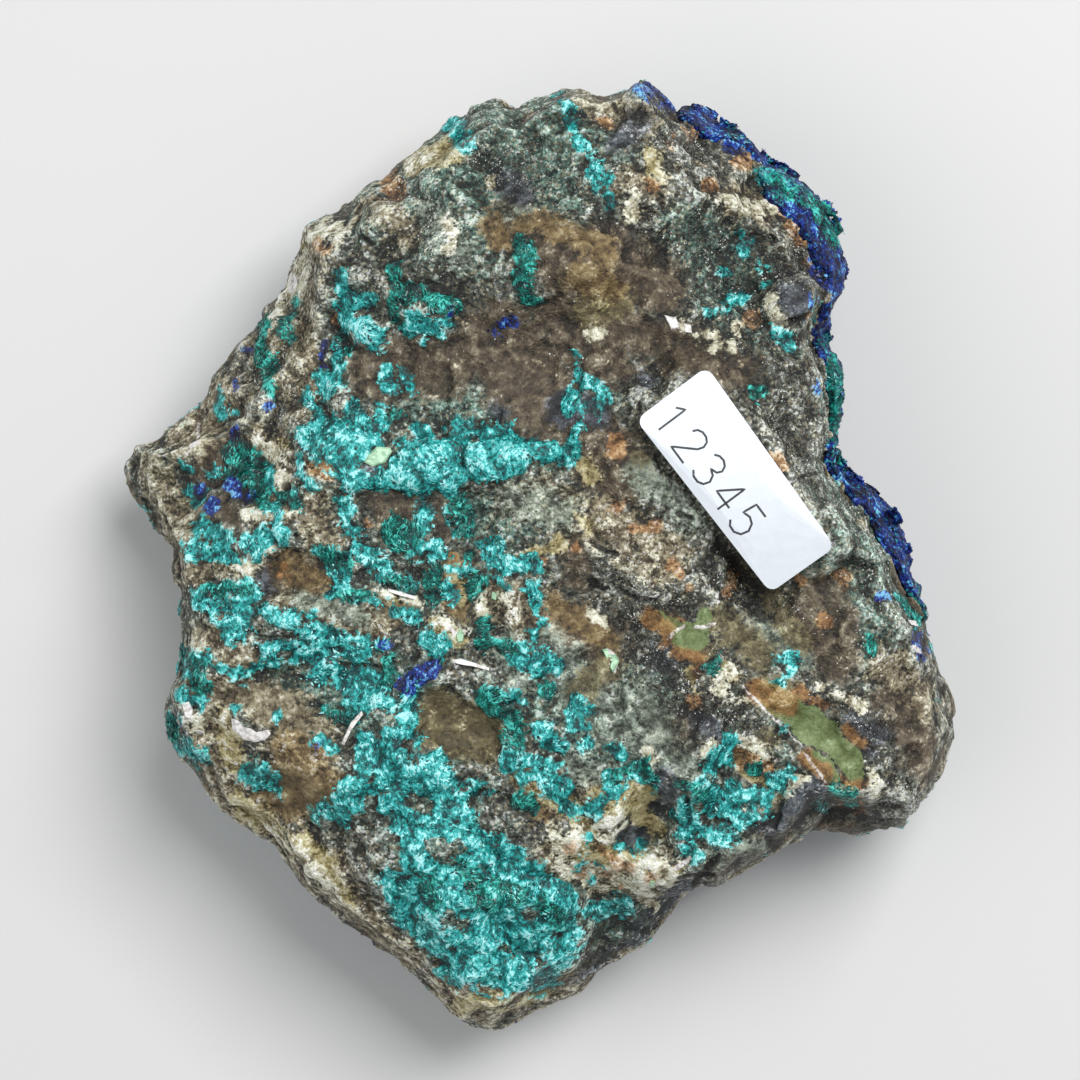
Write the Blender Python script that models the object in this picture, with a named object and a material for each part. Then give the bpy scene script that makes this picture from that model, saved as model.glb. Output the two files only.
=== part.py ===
"""Azurite specimen: a broken stone with azurite and malachite crusts and a paper label on its back.

The stone lies on its crystal side, with the labelled back up. Metres, +Z up. The origin is on the surface
that the stone lies on, under the middle of its box.
"""

import math

import bmesh
import bpy
import numpy as np
from mathutils import Euler, Vector, geometry

MM = 0.001

# The label's length is the driving dimension: the stone's plan is read off the photograph against it.
LABEL_LENGTH = 20 * MM
LABEL_WIDTH = 8 * MM
LABEL_PAPER = 0.2 * MM
LABEL_CORNER = 0.9 * MM
LABEL_LENGTH_PX = 210
PX = LABEL_LENGTH / LABEL_LENGTH_PX

# The view that the readings were taken in: straight down, its middle over the stone's middle.
MIDDLE_PX = (541.5, 556)
RIM_HEIGHT = 14 * MM
VIEW_HEIGHT = 343 * MM

# Heights above the surface that the stone lies on.
BACK_HEIGHT = 28 * MM
BACK_FALL_PER_M = (0.045, 0.03)
UNDER_FLAT_RADIUS = 17 * MM
UNDER_FLAT_CENTRE = (-2 * MM, 0)

# How finely the faces are broken up.
RIM_STEP = 2.1 * MM
BACK_STEP = 1.95 * MM
UNDER_STEP = 3.1 * MM
LABEL_STEP = 1.7 * MM
POINT_SCATTER = 0.18
BORDER_CLEARANCE = 0.62

# Meshes that touch keep this much between them.
SEAT_GAP = 0.35 * MM

# The stone's rim seen from above, clockwise from its top, in pixels of the photograph.
RIM_PX = (
    (640, 82), (656, 85), (672, 93), (690, 100), (708, 104), (720, 112), (729, 121), (744, 122),
    (757, 133), (766, 149), (774, 158), (787, 161), (803, 173), (820, 188), (833, 203), (843, 222),
    (849, 245), (849, 266), (846, 286), (835, 298), (831, 314), (832, 330), (838, 348), (845, 369),
    (846, 394), (844, 410), (847, 426), (842, 438), (835, 446), (844, 455), (852, 467), (866, 481),
    (886, 495), (902, 511), (909, 532), (915, 550), (918, 576), (924, 601), (932, 626), (939, 654),
    (945, 677), (953, 697), (956, 716), (952, 738), (943, 754), (938, 774), (926, 793), (914, 806),
    (911, 819), (896, 828), (880, 832), (866, 839), (850, 840), (836, 834), (822, 832), (808, 836),
    (795, 846), (779, 851), (764, 859), (745, 872), (728, 879), (712, 881), (697, 882), (684, 895),
    (668, 918), (654, 933), (644, 945), (630, 951), (620, 961), (600, 970), (590, 985), (575, 998),
    (556, 1005), (540, 1009), (520, 1019), (502, 1030), (484, 1028), (470, 1025), (453, 1016),
    (441, 1002), (423, 985), (402, 967), (379, 948), (357, 932), (340, 918), (319, 901), (304, 884),
    (291, 866), (277, 846), (260, 832), (241, 821), (222, 811), (207, 796), (198, 779), (183, 763),
    (172, 748), (166, 729), (165, 703), (171, 682), (178, 657), (181, 630), (181, 602), (177, 582),
    (171, 566), (166, 547), (156, 534), (144, 522), (140, 505), (131, 490), (127, 470), (129, 456),
    (138, 444), (156, 440), (168, 428), (183, 415), (201, 399), (213, 377), (228, 358), (241, 342),
    (251, 333), (261, 316), (271, 303), (283, 289), (288, 270), (295, 254), (304, 240), (305, 223),
    (325, 220), (340, 214), (349, 205), (354, 195), (366, 184), (384, 179), (400, 164), (407, 153),
    (423, 140), (440, 130), (453, 119), (463, 110), (481, 102), (497, 101), (509, 108), (522, 106),
    (536, 97), (550, 93), (566, 90), (581, 87), (597, 94), (615, 92),
)

# How the stone's side falls away at places round its rim. Each row holds the nearest point of the rim, in
# pixels, then in millimetres: how far in the back's edge stands, how far that edge lies below the back, the
# height of the widest part, how far in the underside's edge stands, and that edge's height.
SIDE_STATIONS = (
    ((640, 82), 2.4, 2.4, 15.0, 6.0, 4.5),
    ((729, 121), 4.8, 4.2, 14.5, 6.5, 4.5),
    ((833, 203), 5.2, 5.0, 13.5, 7.0, 4.0),
    ((846, 286), 3.2, 3.2, 14.5, 6.5, 4.5),
    ((832, 330), 2.0, 2.0, 16.0, 6.0, 5.0),
    ((846, 394), 1.5, 1.6, 17.0, 6.0, 5.0),
    ((835, 446), 1.5, 1.6, 16.0, 5.0, 5.0),
    ((886, 495), 3.0, 2.8, 15.0, 7.0, 4.5),
    ((918, 576), 2.6, 2.8, 15.0, 8.0, 4.0),
    ((956, 716), 4.6, 5.4, 11.5, 8.0, 4.0),
    ((926, 793), 3.0, 4.0, 10.0, 6.0, 3.5),
    ((850, 840), 1.7, 1.5, 9.5, 5.0, 3.5),
    ((745, 872), 1.7, 1.6, 9.5, 5.0, 3.5),
    ((697, 882), 2.6, 2.6, 10.0, 5.0, 3.5),
    ((630, 951), 6.2, 7.5, 9.0, 5.0, 3.5),
    ((556, 1005), 5.2, 7.0, 9.0, 5.5, 3.5),
    ((484, 1028), 3.6, 6.0, 10.0, 6.0, 3.5),
    ((402, 967), 2.7, 5.6, 10.5, 6.5, 4.0),
    ((304, 884), 2.7, 4.6, 11.5, 7.0, 4.5),
    ((198, 779), 3.2, 4.4, 12.5, 8.0, 4.5),
    ((165, 703), 2.6, 3.0, 13.5, 7.0, 4.5),
    ((181, 602), 2.6, 2.8, 13.5, 7.0, 4.5),
    ((144, 522), 2.8, 3.0, 10.5, 5.0, 5.0),
    ((127, 470), 2.8, 3.0, 10.0, 5.0, 5.0),
    ((201, 399), 5.4, 5.6, 12.0, 7.0, 4.5),
    ((261, 316), 6.4, 6.8, 11.5, 7.0, 4.5),
    ((305, 223), 4.2, 4.8, 12.5, 6.0, 4.5),
    ((384, 179), 4.4, 4.6, 13.0, 6.0, 4.5),
    ((463, 110), 4.4, 4.6, 13.0, 6.0, 4.5),
    ((550, 93), 2.8, 2.8, 14.0, 6.0, 4.5),
)

# The side's rings between the back's edge and the widest part, then from there down to the underside's edge:
# how much of the inset is left, or taken, and how much of the fall is done.
SIDE_ABOVE = ((0.62, 0.22), (0.3, 0.5), (0.08, 0.78))
SIDE_BELOW = ((0.12, 0.36), (0.34, 0.64), (0.64, 0.87))

# How the back rounds over to its edge: its reach as a share of the edge's inset and in all, and its curve.
SHOULDER_SHARE = 1.1
SHOULDER_REACH = 1 * MM
SHOULDER_CURVE = 1.3

# How the underside climbs from its flat to its edge, and how high it keeps off the floor there.
UNDER_CURVE = 0.8
UNDER_CLEARANCE = 0.5 * MM

# Rises and hollows of the back: middle, half length and half width in pixels, how far the length is turned
# anticlockwise from +X in degrees, height in millimetres, and 1 for a round top or 2 for a flat one.
BACK_FORMS = (
    ("low nub at the far left", (158, 486), 62, 50, 0, -8.5, 1),
    ("rise under the label's head", (700, 420), 60, 42, -50, 0.8, 1),
    ("hollow beside the label's foot", (742, 573), 52, 24, -52, -4.4, 1),
    ("knuckle in the middle", (612, 556), 30, 22, -25, 2.1, 1),
    ("smaller knuckle", (648, 590), 22, 17, 15, 1.7, 1),
    ("furrow above the knuckles", (640, 520), 70, 12, -38, -0.9, 1),
    ("dark scoop near the lower edge", (648, 828), 40, 27, 62, -3.4, 2),
    ("curved lip of the scoop", (692, 778), 48, 11, 74, 2.3, 1),
    ("cream ridge below the scoop", (640, 868), 62, 15, -18, 1.3, 1),
    ("smooth pit", (457, 724), 50, 34, -8, -2.2, 2),
    ("smooth brown shelf", (292, 812), 62, 30, -32, -1.7, 2),
    ("brown cobble", (320, 780), 30, 25, 0, 1.6, 1),
    ("broad brown saddle", (505, 378), 84, 58, 12, -2.0, 1),
    ("brown swell", (570, 258), 72, 40, -12, 1.7, 1),
    ("blue-green rib", (495, 458), 86, 20, 10, 1.2, 1),
    ("dark knob at the right shoulder", (798, 303), 27, 22, 0, 2.2, 2),
    ("notch beside the knob", (812, 262), 24, 10, -60, -1.8, 1),
    ("pitted green hollow", (744, 272), 34, 46, 10, -2.0, 2),
    ("smooth green face", (822, 742), 56, 30, -38, -1.2, 2),
    ("pale ridge over the green face", (800, 690), 74, 13, -28, 1.0, 1),
    ("sloping pocket above the ledge", (735, 806), 60, 34, 38, -2.2, 1),
    ("brown socket on the left", (300, 572), 38, 27, -8, -2.0, 2),
    ("dark pocket on the left flank", (238, 462), 32, 44, 12, -3.0, 1),
    ("groove down the left flank", (266, 362), 10, 62, 8, -1.8, 1),
    ("raised flank beside the groove", (300, 345), 17, 78, -8, 1.4, 1),
    ("swell at the upper left", (430, 205), 66, 42, 32, 1.3, 1),
    ("pale pointed face", (446, 236), 26, 30, 0, 1.4, 1),
    ("dark hollow near the top", (505, 180), 46, 24, 20, -1.5, 1),
    ("swell at the top right", (668, 178), 70, 40, 18, 1.2, 1),
    ("dip in the left edge", (205, 560), 36, 20, 12, -2.0, 1),
    ("shelf at the lower left", (235, 620), 44, 34, 0, 1.1, 2),
    ("furrow across the left", (230, 690), 66, 12, 10, -1.2, 1),
    ("broad low tip", (485, 930), 120, 66, -8, -1.2, 1),
    ("grey slope", (700, 650), 62, 40, -30, -1.0, 1),
)

# The lower layer of the stone that shows past the broken edge of the upper one, in pixels, and its drop.
LEDGE_PX = (
    (690, 900), (694, 880), (722, 862), (748, 850), (776, 836), (798, 806), (830, 792), (868, 798),
    (905, 806), (935, 800), (960, 830), (900, 900), (760, 930),
)
LEDGE_DROP = 8.5 * MM
LEDGE_FACE = 1.6 * MM

# Flat-faced breaks: the space between the peaks, how steep they are, and how far they stand proud.
BACK_CHIPS = (6.5 * MM, 0.42, 2.1 * MM)
SIDE_CHIPS = (8.0 * MM, 0.5, 2.4 * MM)
CHIP_FACES = 4
CHIP_TOPS = (0.2, 1)
CHIP_LEVELS = (0.5, 1)
CHIP_REACH = 2.5

# How much of the side's breaks goes outward, at the widest ring and at the others, and upward.
WIDEST_SHARE = 0.2
OUTWARD_SHARE = 0.6
UPWARD_SHARE = 0.25

# The label on the back: middle, turn of its length, height and slope along it, and how it twists.
LABEL_MIDDLE_PX = (735.5, 481.5)
LABEL_TURN = math.radians(-53.2)
LABEL_LIFT = 1.3 * MM
LABEL_SLOPE = -0.07
LABEL_TWIST = 0.55
LABEL_ARCH = 0.5 * MM
LABEL_SEAT_GAP = 0.6 * MM
LABEL_CORNER_POINTS = 5

# The seat under the label: how far round it the stone is worked, where across it the paper is stuck down,
# how that line slants along it, and how fast the stone may rise beside it.
SEAT_ROUND = (0.5 * MM, 2.6 * MM)
SEAT_STUCK = (-2.2 * MM, 0.4 * MM)
SEAT_SLANT = 1.6 * MM
SEAT_RISE = 9 * MM

# The azurite crust: where it runs round the rim, how thick it is, and the crystals that stand on it.
AZURITE_FIRST_PX = (640, 82)
AZURITE_LAST_PX = (939, 654)
AZURITE_THICKNESS = 1.3 * MM
AZURITE_SET_BACK = 2.4 * MM
AZURITE_EDGE = 0.55
AZURITE_LOWEST = 2.8 * MM
AZURITE_TOP_HEIGHT = 20.5 * MM
AZURITE_LUMPS = (0.7, 1.25)
AZURITE_RAGGED = 1.5 * MM
AZURITE_WAVES_PER_M = (900, 700)
CRYSTAL_COUNT = 36
CRYSTAL_LENGTH = (1.1 * MM, 2.0 * MM)
CRYSTAL_WIDTH = 1.3
CRYSTAL_DEPTH = 0.7
CRYSTAL_HEIGHTS = (6.5 * MM, 18 * MM)
CRYSTAL_TILT = 0.35
CRYSTAL_FOOT = 0.55
CRYSTAL_EDGE = 0.3
CRYSTAL_ROOT = 0.35 * MM
CRYSTAL_FACING = 0.65
CRYSTAL_GROUND = 1.2 * MM**2

# The malachite crusts on the back: name, and the discs that each covers, as middle and radius in pixels.
MALACHITE_THICKNESS = 0.8 * MM
MALACHITE_EDGE = 0.45
MALACHITE_LUMPS = (0.55, 1.2)
MALACHITE_FACING = 0.45
MALACHITE_PATCHES = (
    ("malachite_tip", ((440, 925, 42), (495, 900, 62), (545, 915, 50), (500, 960, 42), (440, 860, 42),
                       (480, 840, 40), (400, 850, 30))),
    ("malachite_rib", ((470, 458, 30), (505, 462, 27), (430, 470, 32), (395, 468, 30), (365, 440, 34),
                       (350, 400, 28), (340, 470, 30))),
    ("malachite_flank", ((395, 300, 19), (425, 300, 18), (450, 302, 16), (430, 325, 17), (355, 325, 22),
                         (385, 330, 18))),
)

COLOURS = {
    "stone": (0.105, 0.092, 0.078, 1),
    "azurite": (0.02, 0.06, 0.42, 1),
    "malachite": (0.03, 0.40, 0.36, 1),
    "paper": (0.86, 0.87, 0.88, 1),
}
ROUGHNESS = {"stone": 0.8, "azurite": 0.35, "malachite": 0.6, "paper": 0.7}


def plan(reading, height=RIM_HEIGHT):
    """The place in metres of a reading in pixels, on a surface at this height. What lies nearer the eye looks
    larger."""
    scale = PX * (VIEW_HEIGHT - (height - RIM_HEIGHT)) / VIEW_HEIGHT
    readings = np.asarray(reading, float)
    return (readings - MIDDLE_PX) * (scale, -scale)


def smooth_loop(points, step):
    """Evenly spaced points, about a step apart, on the smooth closed curve through the given ones."""
    before, after, far = (np.roll(points, shift, axis=0) for shift in (1, -1, -2))
    curve = []
    for t in np.linspace(0, 1, 8, endpoint=False):
        curve.append(
            0.5
            * (
                2 * points
                + (after - before) * t
                + (2 * before - 5 * points + 4 * after - far) * t**2
                + (3 * points - before - 3 * after + far) * t**3
            )
        )
    curve = np.stack(curve, axis=1).reshape(-1, 2)
    ring = np.vstack([curve, curve[:1]])
    along = np.concatenate([[0], np.cumsum(np.linalg.norm(np.diff(ring, axis=0), axis=1))])
    places = np.linspace(0, along[-1], round(along[-1] / step), endpoint=False)
    return np.stack([np.interp(places, along, ring[:, axis]) for axis in (0, 1)], axis=1)


def distance_to_loop(places, loop):
    """How far each place is from a closed outline, and the index of the outline's nearest point."""
    ends = np.roll(loop, -1, axis=0)
    spans = ends - loop
    share = ((places[:, None] - loop) * spans).sum(2) / (spans**2).sum(1)
    nearest = loop + np.clip(share, 0, 1)[..., None] * spans
    gaps = np.linalg.norm(places[:, None] - nearest, axis=2)
    return gaps.min(1), gaps.argmin(1)


def inside_loop(places, loop):
    """Which places lie inside a closed outline."""
    x, y = places[:, 0, None], places[:, 1, None]
    (x0, y0), (x1, y1) = loop.T, np.roll(loop, -1, axis=0).T
    crosses = (y0 > y) != (y1 > y)
    level = np.where(y1 == y0, 1, y1 - y0)
    return (crosses & (x < (x1 - x0) * (y - y0) / level + x0)).sum(1) % 2 == 1


def smoothstep(low, high, value):
    t = np.clip((value - low) / (high - low), 0, 1)
    return t * t * (3 - 2 * t)


def chips(places, spacing, slope, relief, seed):
    """Relief of a broken face: the highest of many low pyramids with flat faces, turned at random and cut off
    level at different heights."""
    rng = np.random.default_rng(seed)
    low, high = places.min(0) - spacing, places.max(0) + spacing
    axes = [np.arange(a, b, spacing) for a, b in zip(low, high)]
    peaks = np.stack(np.meshgrid(*axes, indexing="ij"), axis=-1).reshape(-1, places.shape[1])
    peaks = peaks + rng.uniform(-0.5, 0.5, peaks.shape) * spacing
    facing = rng.normal(size=(CHIP_FACES, *peaks.shape))
    facing /= np.linalg.norm(facing, axis=2, keepdims=True)
    tops = rng.uniform(*CHIP_TOPS, len(peaks)) * relief
    level = tops * rng.uniform(*CHIP_LEVELS, len(peaks))
    tilt = rng.normal(scale=slope / 4, size=peaks.shape)
    height = np.full(len(places), -np.inf)
    for number, peak in enumerate(peaks):
        away = places - peak
        fall = np.abs(away @ facing[:, number].T).max(1) * slope
        capped = np.minimum(tops[number] - fall, level[number] + away @ tilt[number])
        near = np.linalg.norm(away, axis=1) < CHIP_REACH * spacing
        height = np.where(near, np.maximum(height, capped), height)
    return np.maximum(height, -relief)


def station_values(rim):
    """The side's measures at each point of the rim, eased between the stations, in metres."""
    marks = plan([station[0] for station in SIDE_STATIONS])
    measures = np.array([station[1:] for station in SIDE_STATIONS]) * MM
    at = np.array([np.linalg.norm(rim - mark, axis=1).argmin() for mark in marks])
    order = at.argsort()
    return np.stack(
        [
            np.interp(np.arange(len(rim)), at[order], measures[order, column], period=len(rim))
            for column in range(measures.shape[1])
        ],
        axis=1,
    )


def label_offsets(places):
    """How far places lie along and across the label from its middle."""
    away = places - plan(LABEL_MIDDLE_PX, BACK_HEIGHT)
    along = np.array([math.cos(LABEL_TURN), math.sin(LABEL_TURN)])
    across = np.array([-along[1], along[0]])
    return away @ along, away @ across


def label_tip(u):
    """How steeply the label tips to one side, at places along it: not at its head, and most at its foot."""
    return LABEL_TWIST * smoothstep(-0.5, 0.5, u / LABEL_LENGTH)


def label_height(places):
    """Height of the label's underside: it slopes down to its foot, where it also tips to one side."""
    u, v = label_offsets(places)
    middle = plan(LABEL_MIDDLE_PX, BACK_HEIGHT)
    level = BACK_HEIGHT + float(middle @ BACK_FALL_PER_M) + LABEL_LIFT
    arch = LABEL_ARCH * (1 - (2 * u / LABEL_LENGTH) ** 2)
    return level + LABEL_SLOPE * u + label_tip(u) * v + arch


def back_height(places):
    """Height of the stone's back, before its edge falls away."""
    height = BACK_HEIGHT + places @ np.array(BACK_FALL_PER_M)
    for _, middle, half_length, half_width, turn, rise, flatness in BACK_FORMS:
        away = places - plan(middle, BACK_HEIGHT)
        turn = math.radians(turn)
        u = away @ (math.cos(turn), math.sin(turn)) / (half_length * PX)
        v = away @ (-math.sin(turn), math.cos(turn)) / (half_width * PX)
        height = height + rise * MM * np.exp(-((u**2 + v**2) ** flatness))
    ledge = plan(LEDGE_PX, BACK_HEIGHT - LEDGE_DROP)
    gap, _ = distance_to_loop(places, ledge)
    depth = np.where(inside_loop(places, ledge), gap, -gap)
    height = height - LEDGE_DROP * smoothstep(-LEDGE_FACE / 2, LEDGE_FACE / 2, depth)
    return height + chips(places, *BACK_CHIPS, seed=11) - BACK_CHIPS[2] / 2


def seat_label(places, height):
    """The back's height with the label's seat worked in: it comes up to the paper along the label's upper
    side, and is nowhere above it."""
    u, v = label_offsets(places)
    beyond = np.maximum(np.abs(u) - LABEL_LENGTH / 2, np.abs(v) - LABEL_WIDTH / 2)
    under = 1 - smoothstep(*SEAT_ROUND, beyond)
    stuck = smoothstep(*SEAT_STUCK, v + SEAT_SLANT * (1 - 2 * u / LABEL_LENGTH))
    ceiling = label_height(places) - LABEL_SEAT_GAP
    raised = height + (ceiling - height) * under * stuck * (height < ceiling)
    return np.where(under > 0, np.minimum(raised, ceiling + (1 - under) * SEAT_RISE), raised)


def spread_points(loop, step, seed):
    """Points about a step apart all over the inside of a loop, in staggered rows, a little out of line."""
    rng = np.random.default_rng(seed)
    low, high = loop.min(0), loop.max(0)
    rows = np.arange(low[1], high[1], step * math.sqrt(3) / 2)
    points = np.array([
        (x + (step / 2 if number % 2 else 0), y)
        for number, y in enumerate(rows)
        for x in np.arange(low[0], high[0], step)
    ])
    points = points + rng.uniform(-POINT_SCATTER, POINT_SCATTER, points.shape) * step
    points = points[inside_loop(points, loop)]
    gap, _ = distance_to_loop(points, loop)
    return points[gap > BORDER_CLEARANCE * step]


def fill_loop(bm, loop_verts, inner, heights, facing_up):
    """Fills a flat-lying loop of vertices with triangles through the inner points at their heights."""
    outline = [v.co.to_2d() for v in loop_verts]
    ring = [(i, (i + 1) % len(outline)) for i in range(len(outline))]
    made = geometry.delaunay_2d_cdt([*outline, *map(tuple, inner)], ring, [], 1, 1e-7)
    verts = list(loop_verts) + [bm.verts.new((x, y, z)) for (x, y), z in zip(inner, heights)]
    source = [verts[first[0]] for first in made[3]]
    for corners in made[2]:
        corners = corners if facing_up else corners[::-1]
        bm.faces.new([source[i] for i in corners])


def side_rings(rim, measures):
    """The rings of points from the back's edge down to the underside's edge, as (places, heights)."""
    edge_in, edge_drop, widest, under_in, under_edge = measures.T
    toward_middle = -rim / np.linalg.norm(rim, axis=1, keepdims=True)

    def ring(inset, height):
        return rim + toward_middle * inset[:, None], height

    top, _ = ring(edge_in, 0)
    edge = back_height(top) - edge_drop
    above = [ring(share * edge_in, edge + fall * (widest - edge)) for share, fall in SIDE_ABOVE]
    below = [ring(share * under_in, widest + fall * (under_edge - widest)) for share, fall in SIDE_BELOW]
    return [(top, edge), *above, (rim, widest), *below, ring(under_in, under_edge)]


def under_height(places, loop, edge_heights):
    """Height of the underside: level where the stone rests, and rising to its edge."""
    gap, nearest = distance_to_loop(places, loop)
    from_flat = np.linalg.norm(places - UNDER_FLAT_CENTRE, axis=1) - UNDER_FLAT_RADIUS
    share = np.clip(from_flat / np.maximum(from_flat + gap, 1e-6), 0, 1)
    rough = chips(places, *BACK_CHIPS, seed=23) - BACK_CHIPS[2] / 2
    height = edge_heights[nearest] * share**UNDER_CURVE + rough * smoothstep(0, 0.4, share)
    return np.where(from_flat < 0, 0, np.maximum(height, UNDER_CLEARANCE * smoothstep(0, 0.2, share)))


def azurite_share(rim):
    """1 where the azurite crust runs round the rim, and 0 elsewhere, eased at its ends."""
    first, last = (
        np.linalg.norm(rim - plan(mark), axis=1).argmin() for mark in (AZURITE_FIRST_PX, AZURITE_LAST_PX)
    )
    position = (np.arange(len(rim)) - first) % len(rim)
    length = (last - first) % len(rim)
    return smoothstep(-1, 3, position) * (1 - smoothstep(length - 3, length + 1, position))


def make_stone():
    """The stone's mesh, with its widest ring drawn in where the azurite crust stands outside it."""
    rim = smooth_loop(plan(RIM_PX), RIM_STEP)
    measures = station_values(rim)
    crusted = azurite_share(rim)
    rim = rim * (1 - AZURITE_SET_BACK * crusted / np.linalg.norm(rim, axis=1))[:, None]
    rings = side_rings(rim, measures)

    bm = bmesh.new()
    loops = []
    for places, heights in rings:
        loops.append([bm.verts.new((x, y, z)) for (x, y), z in zip(places, heights)])
    for upper, lower in zip(loops, loops[1:]):
        for i in range(len(upper)):
            j = (i + 1) % len(upper)
            bm.faces.new((upper[i], upper[j], lower[j], lower[i]))

    top_loop, top_edge = rings[0]
    inner = spread_points(top_loop, BACK_STEP, seed=3)
    gap, nearest = distance_to_loop(inner, top_loop)
    reach = SHOULDER_SHARE * measures[nearest, 0] + SHOULDER_REACH
    fall = measures[nearest, 1] * np.exp(-((gap / reach) ** SHOULDER_CURVE))
    fill_loop(bm, loops[0], inner, seat_label(inner, back_height(inner) - fall), facing_up=True)

    low_loop, low_edge = rings[-1]
    inner = spread_points(low_loop, UNDER_STEP, seed=5)
    fill_loop(bm, loops[-1], inner, under_height(inner, low_loop, low_edge), facing_up=False)

    roughen_sides(bm, loops[1:-1])
    bmesh.ops.recalc_face_normals(bm, faces=bm.faces)
    bmesh.ops.triangulate(bm, faces=[f for f in bm.faces if len(f.verts) > 3])
    return bm


def roughen_sides(bm, loops):
    """Breaks the side into flat-faced chips. The widest ring moves least, because the plan is read off it."""
    bm.normal_update()
    verts = [v for loop in loops for v in loop]
    points = np.array([v.co for v in verts])
    proud = chips(points, *SIDE_CHIPS, seed=31) - SIDE_CHIPS[2] / 2
    widest = set(loops[len(SIDE_ABOVE)])
    for v, out in zip(verts, proud):
        away = v.co.to_2d().normalized()
        share = WIDEST_SHARE if v in widest else OUTWARD_SHARE
        v.co.xy += away * out * share
        v.co.z += out * UPWARD_SHARE


def crust_from(stone, covers, gap, thickness_at):
    """A crust on the faces of the stone that covers() picks: the same faces lifted by the gap, thickened
    outward, as one closed body."""
    bm = stone.copy()
    bm.verts.index_update()
    bm.normal_update()
    normals = {v: v.normal.copy() for v in bm.verts}
    number = {v: v.index for v in bm.verts}
    bmesh.ops.delete(bm, geom=[f for f in bm.faces if not covers(f)], context="FACES")
    keep_one_clean_patch(bm)
    depth = steps_from_border(bm)
    inner = {v: v.co + normals[v] * gap for v in bm.verts}
    outer = {v: v.co + normals[v] * (gap + thickness_at(number[v], depth[v])) for v in bm.verts}
    made = {v: bm.verts.new(outer[v]) for v in list(bm.verts)}
    patch = list(bm.faces)
    border = [e for e in bm.edges if e.is_boundary]
    for face in patch:
        bm.faces.new([made[v] for v in face.verts])
    for edge in border:
        start, end = (loop.vert for loop in (edge.link_loops[0], edge.link_loops[0].link_loop_next))
        bm.faces.new((start, end, made[end], made[start]))
    bmesh.ops.reverse_faces(bm, faces=patch)
    for v, place in inner.items():
        v.co = place
    bmesh.ops.triangulate(bm, faces=[f for f in bm.faces if len(f.verts) > 3])
    return bm


def keep_one_clean_patch(bm):
    """Leaves the largest connected patch, without the corners where two parts of it meet at one vertex."""
    while True:
        loose = [v for v in bm.verts if not v.link_faces]
        bmesh.ops.delete(bm, geom=loose, context="VERTS")
        pinched = {
            f for v in bm.verts if sum(e.is_boundary for e in v.link_edges) > 2 for f in v.link_faces
        }
        spikes = {f for f in bm.faces if sum(e.is_boundary for e in f.edges) > 1}
        if not pinched | spikes:
            break
        bmesh.ops.delete(bm, geom=list(pinched | spikes), context="FACES")
    left = set(bm.faces)
    islands = []
    while left:
        queue = [left.pop()]
        island = set(queue)
        while queue:
            for edge in queue.pop().edges:
                for face in edge.link_faces:
                    if face in left:
                        left.discard(face)
                        island.add(face)
                        queue.append(face)
        islands.append(island)
    keep = max(islands, key=len)
    bmesh.ops.delete(bm, geom=[f for f in bm.faces if f not in keep], context="FACES")
    bmesh.ops.delete(bm, geom=[v for v in bm.verts if not v.link_faces], context="VERTS")


def steps_from_border(bm):
    """How many edges each vertex of an open patch lies from its border."""
    steps = {v: 0 for e in bm.edges if e.is_boundary for v in e.verts}
    ring = list(steps)
    while ring:
        following = []
        for v in ring:
            for edge in v.link_edges:
                other = edge.other_vert(v)
                if other not in steps:
                    steps[other] = steps[v] + 1
                    following.append(other)
        ring = following
    return steps


def make_azurite(stone):
    """The azurite crust: from the shoulder of the back's right edge, down the side and on under the stone."""
    rim = smooth_loop(plan(RIM_PX), RIM_STEP)
    share = azurite_share(rim)
    rng = np.random.default_rng(41)
    lumps = rng.uniform(*AZURITE_LUMPS, len(stone.verts))

    def covers(face):
        middle = face.calc_center_median()
        place = np.array([middle.to_2d()])
        _, nearest = distance_to_loop(place, rim)
        clear_of_floor = min(v.co.z for v in face.verts) > AZURITE_LOWEST
        wave_x, wave_y = (middle[axis] * waves for axis, waves in enumerate(AZURITE_WAVES_PER_M))
        ragged = AZURITE_RAGGED * math.sin(wave_x) * math.cos(wave_y)
        return share[nearest[0]] > 0.5 and clear_of_floor and middle.z + ragged < AZURITE_TOP_HEIGHT

    def thickness_at(number, depth):
        full = AZURITE_THICKNESS * lumps[number]
        return full if depth > 0 else AZURITE_THICKNESS * AZURITE_EDGE

    return crust_from(stone, covers, SEAT_GAP, thickness_at)


def make_malachite(stone, discs):
    """One malachite crust, over the discs."""
    middles = np.array([plan(disc[:2], BACK_HEIGHT) for disc in discs])
    radii = np.array([disc[2] * PX for disc in discs])
    rng = np.random.default_rng(53)
    lumps = rng.uniform(*MALACHITE_LUMPS, len(stone.verts))

    def covers(face):
        middle = face.calc_center_median()
        reach = np.linalg.norm(middles - middle.to_2d(), axis=1) - radii
        return face.normal.z > MALACHITE_FACING and reach.min() < 0

    def thickness_at(number, depth):
        full = MALACHITE_THICKNESS * lumps[number]
        return full if depth > 0 else MALACHITE_THICKNESS * MALACHITE_EDGE

    return crust_from(stone, covers, SEAT_GAP, thickness_at)


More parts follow.
